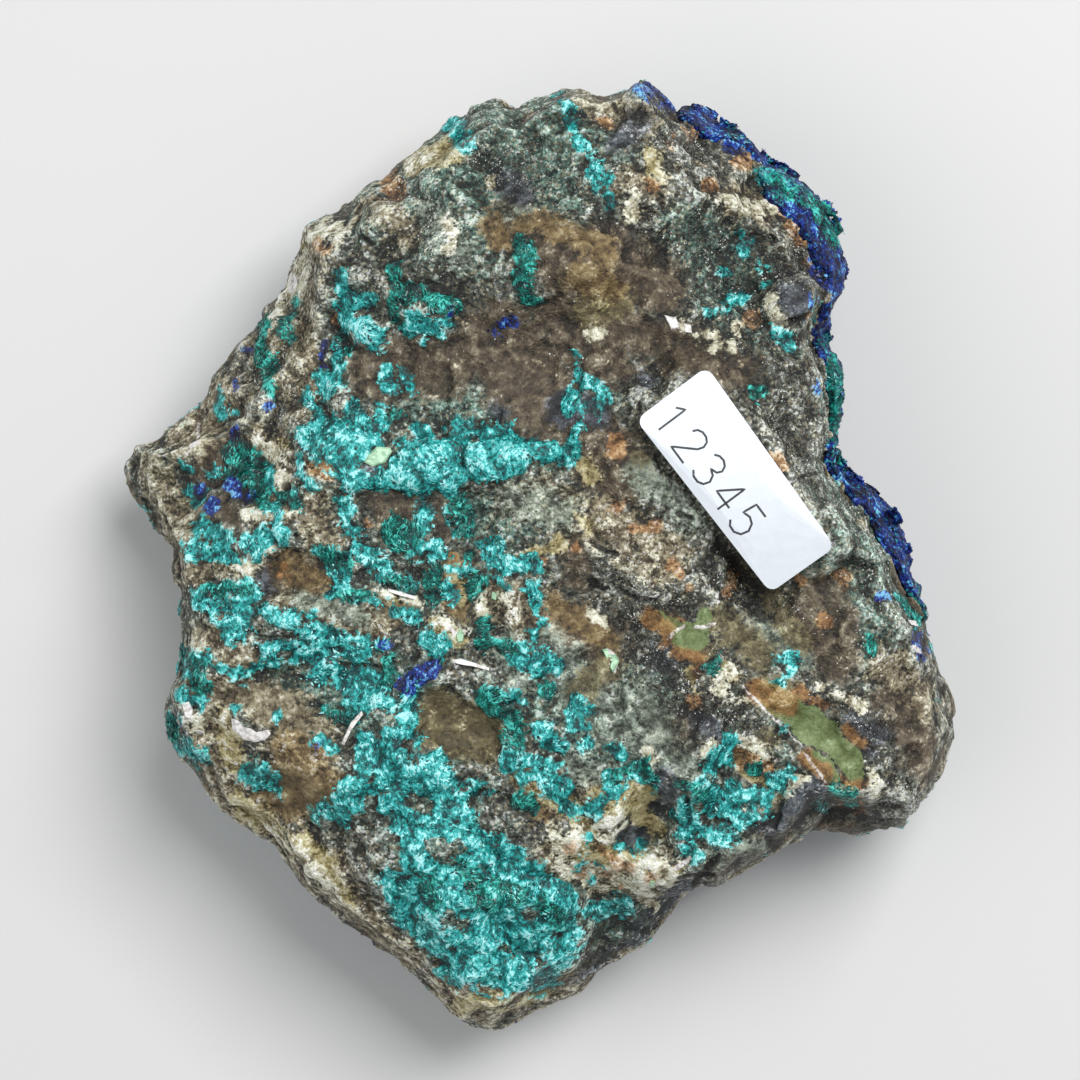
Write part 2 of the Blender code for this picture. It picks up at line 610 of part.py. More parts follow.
def make_crystals(crust):
    """Wedge-ended azurite blades with their feet in the crust, pointing outward from it."""
    rng = np.random.default_rng(66)
    crust.normal_update()
    outward = [f for f in crust.faces if is_outer(f)]
    bm = bmesh.new()
    picks = rng.permutation(len(outward))[:CRYSTAL_COUNT]
    for pick in picks:
        face = outward[pick]
        length = rng.uniform(*CRYSTAL_LENGTH)
        made = bmesh.ops.create_cube(bm, size=1)["verts"]
        for v in made:
            tip = v.co.z > 0
            v.co.x *= length * CRYSTAL_WIDTH * (1 if tip else CRYSTAL_FOOT)
            v.co.y *= length * CRYSTAL_DEPTH * (CRYSTAL_EDGE if tip else 1)
            v.co.z = length if tip else -CRYSTAL_ROOT
        turn = face.normal.to_track_quat("Z", "Y").to_matrix()
        spin = Euler((0, 0, rng.uniform(0, math.tau))).to_matrix()
        lean = Euler((*rng.uniform(-CRYSTAL_TILT, CRYSTAL_TILT, 2), 0)).to_matrix()
        bmesh.ops.rotate(bm, verts=made, cent=(0, 0, 0), matrix=turn @ lean @ spin)
        bmesh.ops.translate(bm, verts=made, vec=face.calc_center_median())
    return bm


def is_outer(face):
    """Whether a face of the azurite crust looks away from the stone, and has room for a crystal."""
    lowest, highest = CRYSTAL_HEIGHTS
    clear_of_edges = all(lowest < v.co.z < highest for v in face.verts)
    away = face.calc_center_median().to_2d().normalized()
    faces_out = face.normal.to_2d().dot(away) > CRYSTAL_FACING
    return faces_out and clear_of_edges and face.calc_area() > CRYSTAL_GROUND


def make_label():
    """The label: a rounded rectangle of paper, curved as it lies on the stone."""
    corners = []
    for x, y, start in ((1, 1, 0), (-1, 1, 90), (-1, -1, 180), (1, -1, 270)):
        middle = np.array([x * (LABEL_LENGTH / 2 - LABEL_CORNER), y * (LABEL_WIDTH / 2 - LABEL_CORNER)])
        for turn in np.linspace(start, start + 90, LABEL_CORNER_POINTS):
            turn = math.radians(turn)
            corners.append(middle + LABEL_CORNER * np.array([math.cos(turn), math.sin(turn)]))
    flat = np.array(corners)
    bm = bmesh.new()
    loop = [bm.verts.new((x, y, 0)) for x, y in flat]
    inner = spread_points(flat, LABEL_STEP, seed=7)
    fill_loop(bm, loop, inner, np.zeros(len(inner)), facing_up=True)
    middle = plan(LABEL_MIDDLE_PX, BACK_HEIGHT)
    cos, sin = math.cos(LABEL_TURN), math.sin(LABEL_TURN)
    verts = list(bm.verts)
    offsets = np.array([v.co.to_2d() for v in verts])
    offsets[:, 1] /= np.sqrt(1 + label_tip(offsets[:, 0]) ** 2)
    places = offsets @ np.array([[cos, sin], [-sin, cos]]) + middle
    for v, place, height in zip(verts, places, label_height(places)):
        v.co = (*place, height)
    thick = bmesh.ops.extrude_face_region(bm, geom=list(bm.faces), use_keep_orig=True)["geom"]
    raised = [part for part in thick if isinstance(part, bmesh.types.BMVert)]
    bmesh.ops.translate(bm, verts=raised, vec=(0, 0, LABEL_PAPER))
    bmesh.ops.triangulate(bm, faces=[f for f in bm.faces if len(f.verts) > 3])
    bmesh.ops.recalc_face_normals(bm, faces=bm.faces)
    return bm


def material(name):
    made = bpy.data.materials.new(name)
    made.use_nodes = True
    surface = made.node_tree.nodes["Principled BSDF"]
    surface.inputs["Base Color"].default_value = COLOURS[name]
    surface.inputs["Roughness"].default_value = ROUGHNESS[name]
    surface.inputs["Metallic"].default_value = 0
    return made


def add_object(name, bm, finish, parent):
    mesh = bpy.data.meshes.new(name)
    bm.to_mesh(mesh)
    bm.free()
    mesh.materials.append(finish)
    made = bpy.data.objects.new(name, mesh)
    bpy.context.scene.collection.objects.link(made)
    made.parent = parent
    return made


def fuse(host, grown):
    """Joins what has grown on a piece to it, as one body."""
    grown.hide_render = True
    grown.display_type = "WIRE"
    join = host.modifiers.new("fuse", "BOOLEAN")
    join.operation = "UNION"
    join.solver = "EXACT"
    join.use_self = True
    join.object = grown


def centre_over_origin(specimen):
    """Moves the specimen so that the middle of its box, seen from above, is over the origin."""
    bpy.context.view_layer.update()
    graph = bpy.context.evaluated_depsgraph_get()
    corners = [
        Vector(corner)
        for piece in specimen.children
        if not piece.hide_render
        for corner in piece.evaluated_get(graph).bound_box
    ]
    for axis in (0, 1):
        along = [corner[axis] for corner in corners]
        specimen.location[axis] = -(min(along) + max(along)) / 2


def main():
    for old in list(bpy.data.objects):
        bpy.data.objects.remove(old)
    finishes = {name: material(name) for name in COLOURS}
    specimen = bpy.data.objects.new("specimen", None)
    bpy.context.scene.collection.objects.link(specimen)

    stone = make_stone()
    stone.verts.index_update()
    stone.normal_update()
    crust = make_azurite(stone)
    crystals = add_object("crystals", make_crystals(crust), finishes["azurite"], specimen)
    fuse(add_object("azurite_crust", crust, finishes["azurite"], specimen), crystals)
    for name, discs in MALACHITE_PATCHES:
        add_object(name, make_malachite(stone, discs), finishes["malachite"], specimen)
    add_object("stone", stone, finishes["stone"], specimen)
    add_object("label", make_label(), finishes["paper"], specimen)
    centre_over_origin(specimen)


main()
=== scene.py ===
"""The looks of the azurite specimen: broken rock, the malachite and azurite that grow on it, and a label."""

import math

import bmesh
import bpy
import numpy as np
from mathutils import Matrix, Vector, kdtree, noise
from mathutils.bvhtree import BVHTree


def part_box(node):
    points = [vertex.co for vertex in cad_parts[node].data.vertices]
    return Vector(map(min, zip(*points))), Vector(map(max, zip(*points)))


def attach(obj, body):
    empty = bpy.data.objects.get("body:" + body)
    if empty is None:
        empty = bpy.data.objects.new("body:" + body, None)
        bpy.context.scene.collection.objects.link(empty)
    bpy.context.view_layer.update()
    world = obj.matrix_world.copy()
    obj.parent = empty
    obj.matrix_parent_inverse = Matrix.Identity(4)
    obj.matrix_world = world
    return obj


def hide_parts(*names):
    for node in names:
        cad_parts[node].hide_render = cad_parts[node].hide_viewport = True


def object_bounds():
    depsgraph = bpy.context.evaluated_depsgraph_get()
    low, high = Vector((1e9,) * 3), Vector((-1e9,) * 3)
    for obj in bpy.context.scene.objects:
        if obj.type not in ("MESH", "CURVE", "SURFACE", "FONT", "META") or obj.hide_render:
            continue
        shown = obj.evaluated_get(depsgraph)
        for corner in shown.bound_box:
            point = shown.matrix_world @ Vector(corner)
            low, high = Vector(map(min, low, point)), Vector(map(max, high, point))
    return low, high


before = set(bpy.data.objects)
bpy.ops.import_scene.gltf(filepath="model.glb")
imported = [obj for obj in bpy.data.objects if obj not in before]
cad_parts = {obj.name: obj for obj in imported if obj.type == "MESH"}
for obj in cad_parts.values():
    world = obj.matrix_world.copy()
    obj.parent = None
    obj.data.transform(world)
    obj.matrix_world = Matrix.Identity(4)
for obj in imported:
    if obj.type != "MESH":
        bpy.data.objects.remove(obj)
CAD_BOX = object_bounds()

bl_info = {
    "name": "Azurite specimen",
    "version": (1, 0, 0),
    "blender": (4, 5, 0),
    "location": "View3D > Sidebar > Specimen",
    "description": "Builds the finished look of an azurite specimen with a label on its back",
    "category": "Add Mesh",
}

MM = 0.001

# The label's real size and its length in the photograph, which together give the size of a pixel at the rim.
LABEL_LENGTH = 20 * MM
LABEL_WIDTH = 8 * MM
LABEL_LENGTH_PX = 210
PX = LABEL_LENGTH / LABEL_LENGTH_PX

# Where the stone and the label lie in the photograph, and how the label is turned.
FRAME_PX = 1080
STONE_MIDDLE_PX = (541.5, 556)
LABEL_MIDDLE_PX = (735.5, 481.5)
LABEL_TURN = math.radians(-53.2)
LABEL_ALONG = np.array([math.cos(LABEL_TURN), math.sin(LABEL_TURN)])
LABEL_ACROSS = np.array([-math.sin(LABEL_TURN), math.cos(LABEL_TURN)])

# The heights of the rim and of the back above what the stone lies on, and of the lens above the rim.
RIM_HEIGHT = 14 * MM
BACK_HEIGHT = 28 * MM
VIEW_HEIGHT = 343 * MM
SENSOR = 36

# Where the middle of the stone's readings lies in the CAD model's frame.
READINGS_ORIGIN = np.array([0, 0.146 * MM])

# The floor's size, and the light that the room gives from all round.
FLOOR_SIZE = 6
ROOM_COLOUR = (0.95, 0.97, 1, 1)
ROOM_STRENGTH = 0.33

# The stone's outline seen from above, clockwise from its top, in pixels.
OUTLINE_PX = (
    (640, 82), (656, 85), (672, 93), (690, 100), (708, 104), (720, 112), (729, 121), (744, 122), (757, 133),
    (766, 149), (774, 158), (787, 161), (803, 173), (820, 188), (833, 203), (843, 222), (849, 245), (849, 266),
    (846, 286), (835, 298), (831, 314), (832, 330), (838, 348), (845, 369), (846, 394), (844, 410), (847, 426),
    (842, 438), (835, 446), (844, 455), (852, 467), (866, 481), (886, 495), (902, 511), (909, 532), (915, 550),
    (918, 576), (924, 601), (932, 626), (939, 654), (945, 677), (953, 697), (956, 716), (952, 738), (943, 754),
    (938, 774), (926, 793), (914, 806), (911, 819), (896, 828), (880, 832), (866, 839), (850, 840), (836, 834),
    (822, 832), (808, 836), (795, 846), (779, 851), (764, 859), (745, 872), (728, 879), (712, 881), (697, 882),
    (684, 895), (668, 918), (654, 933), (644, 945), (630, 951), (620, 961), (600, 970), (590, 985), (575, 998),
    (556, 1005), (540, 1009), (520, 1019), (502, 1030), (484, 1028), (470, 1025), (453, 1016), (441, 1002),
    (423, 985), (402, 967), (379, 948), (357, 932), (340, 918), (319, 901), (304, 884), (291, 866), (277, 846),
    (260, 832), (241, 821), (222, 811), (207, 796), (198, 779), (183, 763), (172, 748), (166, 729), (165, 703),
    (171, 682), (178, 657), (181, 630), (181, 602), (177, 582), (171, 566), (166, 547), (156, 534), (144, 522),
    (140, 505), (131, 490), (127, 470), (129, 456), (138, 444), (156, 440), (168, 428), (183, 415), (201, 399),
    (213, 377), (228, 358), (241, 342), (251, 333), (261, 316), (271, 303), (283, 289), (288, 270), (295, 254),
    (304, 240), (305, 223), (325, 220), (340, 214), (349, 205), (354, 195), (366, 184), (384, 179), (400, 164),
    (407, 153), (423, 140), (440, 130), (453, 119), (463, 110), (481, 102), (497, 101), (509, 108), (522, 106),
    (536, 97), (550, 93), (566, 90), (581, 87), (597, 94), (615, 92),
)

# How the rim is brought out to that outline, by direction in degrees: over an outer band and above the foot, by
# so many pixels at most, with more for what easing takes off. The azurite crust is held back inside it, with
# room for its crystals.
DIRECTION_STEP = 3
DIRECTIONS = np.arange(-180, 180, DIRECTION_STEP)
EDGE_SPOTS = 12
OUTER_BAND = (0.72, 0.97)
FOOT_HEIGHTS = (1 * MM, 6 * MM)
MOST_SPREAD_PX = (-2, 19)
LOST_TO_EASE_PX = 2.5
RIM_CRYSTALS_PX = 3.5
HELD_BACK = 0.95

# Where each mineral, rock and stain shows on the back, and where shade is painted on it. A stroke is a reach in
# pixels, then the points that it runs through, read off the photograph.
MALACHITE_STROKES = (
    (40, (440, 900), (520, 945)), (36, (480, 862), (516, 884)), (28, (428, 858), (418, 895)),
    (25, (550, 900), (552, 946)), (20, (502, 970), (540, 972)), (20, (455, 958), (490, 978)),
    (4, (575, 860), (586, 852)), (18, (398, 880), (412, 912)), (25, (375, 762), (398, 792)),
    (22, (430, 775), (458, 800)), (15, (350, 790), (340, 808)), (20, (410, 822), (470, 832)),
    (10, (440, 772), (476, 790)), (9, (412, 690), (408, 735)), (13, (320, 665), (345, 672)),
    (15, (350, 680), (376, 690)), (9, (300, 655), (315, 662)), (9, (348, 705), (390, 700)),
    (9, (250, 773), (270, 785)), (6, (281, 713)), (8, (335, 708), (348, 716)), (11, (325, 808), (350, 812)),
    (15, (205, 597), (245, 595)), (10, (215, 615), (250, 640)), (7, (185, 665), (203, 680)),
    (10, (190, 548), (232, 552)), (10, (201, 527), (209, 531)), (8, (226, 530)), (9, (242, 542), (254, 548)),
    (10, (265, 535), (282, 532)), (6, (212, 660), (226, 672), (246, 675), (262, 665), (276, 660)),
    (7, (258, 655), (300, 640)), (7, (268, 612), (290, 620)), (6, (303, 618)), (6, (183, 657), (204, 655)),
    (9, (187, 695), (198, 699)), (8, (172, 718), (173, 740)), (9, (186, 746), (200, 757)), (4, (238, 708)),
    (17, (350, 430), (366, 442)), (12, (346, 455), (352, 482)), (11, (308, 438), (328, 455)),
    (9, (318, 416), (333, 424)), (8, (378, 476), (390, 483)), (22, (412, 462), (448, 464)),
    (24, (482, 455), (506, 456)), (13, (530, 450), (564, 450)), (8, (444, 446), (462, 425)),
    (9, (488, 432), (500, 430)), (8, (400, 486), (450, 485)), (6, (425, 498), (427, 538)),
    (5, (446, 512), (450, 533)), (7, (345, 500), (358, 545)), (9, (430, 546), (441, 556)),
    (13, (486, 547), (502, 560)), (9, (345, 552), (344, 580)), (5, (318, 546), (336, 552)),
    (9, (368, 556), (382, 564)), (6, (382, 577), (416, 585)), (6, (333, 592), (360, 595)),
    (5, (366, 600), (382, 602)), (7, (402, 608), (410, 612)), (6, (495, 576), (503, 584)),
    (9, (510, 568), (536, 565)), (7, (528, 582), (538, 600)), (6, (537, 605), (534, 632)),
    (8, (412, 614), (422, 626)), (11, (424, 640), (438, 645)), (11, (305, 628), (334, 640)),
    (8, (302, 652), (330, 650)), (9, (524, 646), (538, 658)), (7, (320, 380), (326, 398)),
    (9, (350, 322), (378, 340)), (8, (345, 303), (368, 303)), (7, (341, 275), (345, 292)),
    (10, (420, 317), (440, 324)), (8, (412, 331), (424, 333)), (8, (338, 345), (339, 368)),
    (7, (384, 370), (392, 390)), (6, (400, 377), (410, 388)), (7, (382, 410), (386, 430)),
    (7, (420, 428), (432, 434)), (5, (562, 100), (569, 112)), (5, (568, 122), (575, 135), (588, 144)),
    (6, (588, 144), (593, 166)), (7.5, (596, 172), (604, 180)), (5.5, (601, 186), (607, 202)),
    (10, (452, 122), (464, 140)), (4, (576, 352), (582, 380), (600, 388)),
    (5, (600, 388), (603, 398), (592, 410), (570, 407), (576, 394), (586, 387)), (4, (582, 415), (573, 438)),
    (5, (745, 234), (742, 248)), (4, (758, 258), (766, 268)), (4, (722, 272)), (4, (765, 285)),
    (7, (728, 305), (738, 300)), (4, (750, 300)), (3, (710, 316)), (6, (782, 333), (788, 343)),
    (6, (488, 694), (524, 702)), (6, (516, 730), (514, 762)), (8, (540, 726), (554, 740)), (7, (546, 652)),
    (8, (556, 662)), (9, (545, 690)), (8, (571, 703), (585, 712)), (9, (545, 728), (552, 741)), (4, (568, 725)),
    (5, (584, 742)), (6, (612, 748), (624, 758)), (8, (530, 776), (560, 792)), (7, (588, 802), (620, 790)),
    (6, (641, 772), (655, 785)), (7, (778, 683)), (8, (783, 658), (788, 668)), (12, (727, 745), (713, 766)),
    (13, (698, 790), (706, 802)), (12, (690, 820), (690, 852)), (14, (720, 800), (737, 812)),
    (9, (745, 800), (766, 793)), (8, (775, 780), (786, 782)), (12, (713, 830), (727, 838)), (5, (796, 768)),
    (8, (731, 786)), (5, (822, 804)), (9, (588, 912), (626, 906)), (3, (777, 724), (790, 733)),
    (8, (262, 475), (268, 479)), (8, (265, 503), (274, 508)), (6, (289, 490), (291, 498)), (6, (190, 466)),
    (5, (212, 470)), (9, (190, 490), (202, 498)), (9, (740, 128), (756, 132)), (12, (766, 176), (793, 190)),
    (9, (822, 206), (838, 234)), (8, (830, 337), (843, 367)), (7, (838, 402), (838, 436)),
    (8, (908, 598), (920, 616)), (6, (526, 250), (526, 286)), (9, (320, 374), (334, 388)),
    (7, (304, 398), (316, 410)), (9, (322, 432), (336, 444)), (11, (350, 412), (372, 438)),
    (8, (346, 462), (366, 480)), (7, (304, 466), (310, 484)), (6, (222, 396), (228, 416)),
    (12, (334, 672), (368, 690)), (8, (314, 668), (330, 676)), (13, (212, 600), (244, 604)),
    (13, (230, 622), (242, 634)), (6, (268, 614), (298, 622)), (8, (318, 642), (362, 654)),
    (6, (312, 634), (336, 630)), (8, (410, 700), (412, 735)), (5, (314, 742), (330, 746)),
    (12, (362, 742), (376, 760)), (16, (388, 744), (410, 770)), (6, (262, 646), (292, 650)),
    (6, (188, 552), (206, 556)), (8, (508, 764), (548, 766)), (7, (546, 774), (566, 786)),
    (7, (570, 806), (594, 808)), (7, (610, 778), (640, 766)), (6, (572, 710), (584, 726)),
    (10, (518, 650), (538, 668)), (6, (508, 568), (536, 572)), (9, (720, 752), (726, 764)),
    (10, (734, 800), (760, 812)), (9, (690, 806), (700, 836)), (7, (330, 556), (350, 566)),
    (8, (366, 556), (386, 568)), (4, (586, 838)), (4, (600, 864)), (5, (590, 878)), (3, (622, 848)),
    (5, (612, 894)), (4, (640, 852)), (6, (440, 566), (470, 572)), (6, (404, 540), (420, 560)),
    (7, (446, 590), (456, 596)), (5, (360, 640), (380, 646)),
)
DEEP_STROKES = (
    (9, (394, 272), (397, 312)), (9, (410, 290), (432, 296)), (9, (438, 300), (455, 306)),
    (11, (523, 242), (522, 284)), (8, (522, 294), (534, 298)), (11, (460, 506), (466, 524)), (17, (400, 535)),
    (7, (468, 552)), (8, (437, 572), (428, 598)), (7, (478, 575), (472, 598)), (7, (483, 625), (483, 645)),
    (7, (488, 640), (510, 646)), (9, (712, 664)), (7, (755, 768)), (6, (396, 414)),
    (12, (243, 450), (246, 478)), (8, (232, 474), (252, 462)), (7, (262, 322), (268, 394)),
    (6, (297, 302), (285, 340)), (8, (250, 480), (262, 500)), (8, (284, 495)), (9, (545, 690)),
    (7, (199, 672), (201, 688)), (10, (816, 200), (842, 236)), (9, (836, 345), (838, 436)),
    (6, (866, 634), (870, 652)), (7, (690, 785), (700, 795)), (6, (755, 388), (765, 396)),
    (10, (838, 790), (850, 796)), (7, (206, 590), (246, 590)), (6, (188, 655), (204, 668)),
    (8, (334, 708), (350, 716)), (6, (386, 662), (390, 682)), (5, (173, 720), (175, 736)),
    (6, (340, 334), (350, 356)), (8, (328, 552), (350, 564)), (5, (340, 594), (364, 595)),
    (6, (388, 582), (412, 590)), (8, (278, 492), (290, 502)), (9, (230, 456), (248, 474)),
    (6, (254, 452), (262, 498)), (10, (492, 700), (508, 712)), (9, (512, 716), (518, 742)),
    (5, (484, 694), (500, 700)), (6, (646, 764), (654, 782)), (6, (616, 776), (634, 766)),
    (7, (518, 796), (530, 802)), (8, (446, 856), (462, 862)), (8, (490, 884), (520, 890)),
    (9, (430, 880), (436, 900)), (7, (540, 900), (556, 922)), (6, (412, 866), (424, 880)),
    (8, (470, 876), (486, 900)), (7, (774, 178), (792, 194)), (8, (828, 212), (844, 236)),
    (5, (836, 450), (844, 460)), (7, (908, 598), (920, 614)),
)
AZURITE_STROKES = (
    (8, (638, 88), (650, 94)), (11, (668, 100), (700, 110)), (10, (700, 112), (728, 120)),
    (9, (726, 144), (756, 148)), (7, (783, 165), (800, 170)), (10, (795, 200), (816, 210)),
    (15, (822, 250), (842, 252)), (15, (825, 275), (842, 287)), (11, (820, 300), (828, 326)),
    (5, (817, 335), (820, 346)), (3, (815, 382), (817, 390)), (5, (828, 368)), (9, (842, 466), (872, 486)),
    (12, (880, 500), (895, 516)), (12, (892, 530), (908, 556)), (10, (904, 566), (914, 592)), (6, (883, 597)),
    (6, (918, 636), (925, 652)), (5, (247, 347)), (5, (236, 383)), (6, (195, 490)), (8, (230, 487), (246, 492)),
    (7, (212, 507)), (6, (325, 345), (323, 366)), (10, (408, 686), (430, 668)), (6, (384, 643)),
    (5, (315, 745)), (4, (452, 313)), (6, (502, 326), (511, 323)), (7, (238, 433)), (6, (198, 488)),
    (5, (268, 404)),
)
BROWN_STROKES = (
    (42, (500, 345), (545, 400)), (30, (520, 225), (570, 265)), (34, (600, 255), (650, 285)),
    (34, (580, 430), (620, 470)), (30, (380, 372), (450, 365)), (18, (240, 690), (300, 712)),
    (24, (440, 725), (475, 728)), (20, (280, 572), (320, 570)), (13, (462, 562), (455, 600)),
    (30, (560, 320), (600, 360)), (12, (570, 530), (578, 575)), (24, (390, 500), (440, 520)),
    (22, (600, 320), (690, 350)), (20, (700, 350), (740, 370)), (26, (560, 620), (600, 640)),
    (20, (212, 450), (212, 470)), (16, (225, 510), (232, 514)), (24, (900, 700), (930, 760)),
    (18, (655, 720), (672, 735)), (9, (720, 866), (790, 846)), (8, (812, 828), (850, 830)),
    (30, (820, 600), (835, 650)), (12, (560, 280), (600, 300)), (16, (655, 340), (700, 352)),
)
TAN_STROKES = (
    (26, (305, 245), (268, 345)), (24, (225, 395), (190, 440)), (26, (200, 575), (215, 560)),
    (22, (305, 510), (325, 540)), (22, (265, 445), (275, 520)), (30, (580, 850), (640, 850)),
    (26, (210, 730), (225, 790)), (20, (290, 855), (400, 955)), (30, (440, 1000), (560, 990)),
    (26, (500, 600), (540, 620)), (22, (330, 620), (380, 610)), (20, (520, 500), (560, 500)),
    (14, (620, 185), (650, 190)), (14, (735, 205), (765, 215)), (22, (160, 500), (185, 540)),
    (26, (600, 520), (660, 560)), (18, (880, 660), (925, 700)), (18, (400, 230), (380, 210)),
    (22, (215, 640), (240, 665)), (20, (200, 690), (250, 690)), (22, (290, 600), (370, 625)),
    (20, (262, 700), (318, 726)), (24, (595, 798), (650, 796)), (18, (545, 790), (565, 806)),
    (24, (140, 470), (185, 520)), (24, (290, 330), (300, 400)), (20, (590, 100), (640, 120)),
    (10, (730, 190), (790, 220)), (24, (230, 812), (330, 880)), (26, (560, 856), (650, 876)),
    (22, (280, 745), (310, 760)),
)
CREAM_STROKES = (
    (11, (312, 232), (338, 228)), (8, (300, 258), (292, 300)), (7, (280, 300), (262, 340)),
    (5, (412, 162), (430, 156)), (7, (636, 194), (628, 212)), (5, (716, 196), (748, 206)),
    (5, (750, 210), (772, 216)), (7, (772, 302), (782, 324)), (9, (262, 445), (276, 452)),
    (7, (276, 462), (280, 480)), (8, (252, 512), (288, 512)), (7, (255, 552), (272, 545)),
    (6, (240, 560), (252, 566)), (10, (650, 862), (672, 875)), (9, (632, 880), (650, 900)),
    (9, (600, 872), (622, 866)), (8, (745, 742), (762, 752)), (7, (755, 812), (775, 800)),
    (3, (714, 688), (742, 704)), (4, (820, 688), (862, 708)), (6, (505, 600), (512, 618)),
    (6, (436, 616), (450, 626)), (5, (460, 632)), (6, (386, 590), (412, 596)), (5, (866, 770), (876, 786)),
    (5, (720, 680), (730, 672)), (7, (186, 705), (200, 730)), (6, (780, 792), (800, 780)),
    (4, (674, 322), (688, 327)), (4, (590, 330), (594, 335)), (4, (490, 180)), (5, (740, 330), (736, 345)),
    (5, (700, 752), (712, 744)), (5, (480, 600), (484, 612)), (4, (708, 335), (712, 342)),
    (6, (596, 612), (606, 620)), (5, (572, 842), (610, 838)), (6, (636, 868), (648, 884)),
    (7, (447, 222), (452, 246)), (12, (562, 858), (592, 878)), (8, (556, 836), (584, 836)),
    (9, (600, 884), (640, 878)), (6, (600, 822), (622, 818)), (6, (270, 830), (300, 856)),
    (6, (310, 872), (340, 900)), (4, (216, 718), (228, 724)), (4, (644, 755), (656, 760)),
    (4, (262, 380), (270, 420)),
)
WHITE_STROKES = (
    (3, (293, 276), (292, 290)), (2, (238, 762)), (1.2, (716, 592), (717, 604)), (1.6, (668, 638), (684, 626)),
    (1.6, (694, 627), (716, 624)), (1.4, (197, 420), (199, 442), (184, 458)), (2, (912, 646), (934, 660)),
    (2, (606, 650), (616, 658), (613, 670)), (2, (640, 598), (658, 593)), (2, (448, 628), (458, 634)),
    (1.2, (734, 674), (748, 692), (768, 712), (790, 733), (803, 748), (810, 762), (826, 782)),
    (2.4, (676, 868), (690, 858)),
)
OCHRE_STROKES = (
    (12, (391, 183), (396, 188)), (7, (322, 246)), (8, (338, 318)), (8, (661, 98)), (12, (696, 133)),
    (8, (741, 165)), (8, (713, 183)), (11, (788, 218), (804, 238)), (9, (815, 258)), (8, (817, 315)),
    (5, (668, 140)), (6, (820, 274)), (5, (700, 108)), (4, (672, 112)), (8, (812, 244)), (10, (754, 322)),
    (7, (605, 120)), (8, (652, 184)), (8, (796, 692), (812, 700)), (8, (828, 620)), (9, (736, 756), (766, 768)),
    (8, (846, 802), (856, 804)), (9, (648, 622), (676, 626)), (9, (696, 702)), (7, (700, 674)), (7, (618, 505)),
    (9, (612, 442), (616, 452)), (9, (318, 464), (332, 470)), (7, (452, 560)), (6, (456, 590)), (6, (280, 575)),
    (6, (636, 532), (652, 527)), (6, (734, 572), (727, 592)), (6, (652, 872)), (5, (690, 588)),
    (5, (812, 700), (826, 708)), (6, (835, 776), (862, 786)), (6, (800, 580)), (5, (672, 566), (678, 574)),
    (5, (366, 520)), (6, (348, 494)), (7, (545, 560)), (6, (572, 545)), (5, (596, 846), (604, 852)),
    (6, (612, 860), (622, 866)), (5, (604, 874)), (5, (630, 868)), (4, (620, 886)), (5, (570, 842)),
    (5, (578, 868)), (4, (648, 876)), (8, (840, 575)), (6, (770, 460), (782, 468)),
)
OLIVE_STROKES = (
    (11, (768, 738)), (8, (640, 456)), (30, (440, 720), (480, 735)), (18, (620, 300), (590, 310)),
    (14, (770, 600), (800, 640)), (14, (455, 580), (458, 610)), (20, (770, 690), (790, 700)),
    (14, (664, 622), (700, 650)), (16, (720, 620), (760, 650)), (16, (580, 690), (610, 660)),
)
STRAW_STROKES = (
    (15, (598, 798), (644, 794)), (10, (640, 812), (654, 832)), (7, (562, 790), (580, 806)),
    (8, (650, 154), (656, 176)), (8, (738, 758), (764, 776)), (13, (414, 160), (452, 150)),
    (7, (318, 468), (336, 466)), (6, (284, 444)), (6, (578, 516), (586, 526)), (8, (586, 464), (596, 476)),
    (6, (602, 304)), (14, (582, 850), (636, 866)), (12, (238, 800), (300, 852)), (8, (430, 618), (462, 640)),
    (7, (388, 592), (404, 606)), (6, (660, 874), (680, 866)), (8, (452, 560), (462, 600)),
    (7, (716, 664), (732, 676)), (5, (690, 672), (700, 690)), (6, (262, 240), (300, 244)),
    (10, (222, 720), (236, 760)), (7, (520, 560), (560, 540)), (8, (310, 838), (350, 900)),
    (8, (538, 786), (562, 802), (590, 828)), (10, (460, 1004), (540, 996)),
)
FIELD_STROKES = (
    (26, (570, 690), (640, 745)), (22, (545, 650), (600, 700)), (20, (640, 700), (664, 742)),
    (18, (660, 760), (690, 790)), (14, (500, 640), (520, 680)), (16, (640, 850), (690, 770)),
    (14, (570, 770), (600, 772)), (16, (430, 216), (462, 250)), (14, (640, 470), (690, 520)),
    (14, (760, 620), (800, 660)), (18, (520, 500), (560, 510)), (14, (300, 600), (360, 612)),
    (8, (414, 158), (460, 153)), (13, (446, 116), (472, 142)), (9, (420, 150), (440, 128)),
    (7, (508, 218), (534, 208)), (10, (700, 856), (760, 846)),
)
COBBLE_STROKES = (
    (22, (285, 775), (335, 790)), (14, (262, 796), (300, 806)), (14, (556, 228), (606, 250)),
    (16, (580, 276), (612, 290)), (12, (488, 222), (502, 236)), (12, (560, 606), (604, 640)),
    (12, (450, 566), (458, 608)), (9, (520, 225), (540, 216)), (15, (286, 568), (316, 578)),
    (14, (285, 745), (310, 752)), (12, (735, 752), (765, 770)), (14, (528, 778), (540, 800)),
)
# Painted shade: these strokes darken the rock where it lies in shade, on the ledge and in the label's shadow by
# its foot.
PAINTED_SHADE_STROKES = (
    (44, (720, 235), (780, 300)), (30, (690, 320), (780, 360)), (24, (620, 222), (660, 240)),
    (34, (720, 870), (860, 832)), (24, (790, 800), (815, 790)), (20, (600, 950), (660, 920)),
    (20, (690, 720), (706, 740)), (18, (846, 716), (872, 734)), (30, (660, 630), (680, 690)),
    (20, (820, 250), (838, 300)), (24, (140, 545), (190, 590)), (24, (480, 150), (520, 190)),
    (20, (728, 560), (766, 596)), (20, (400, 250), (450, 300)), (20, (660, 100), (690, 130)),
)
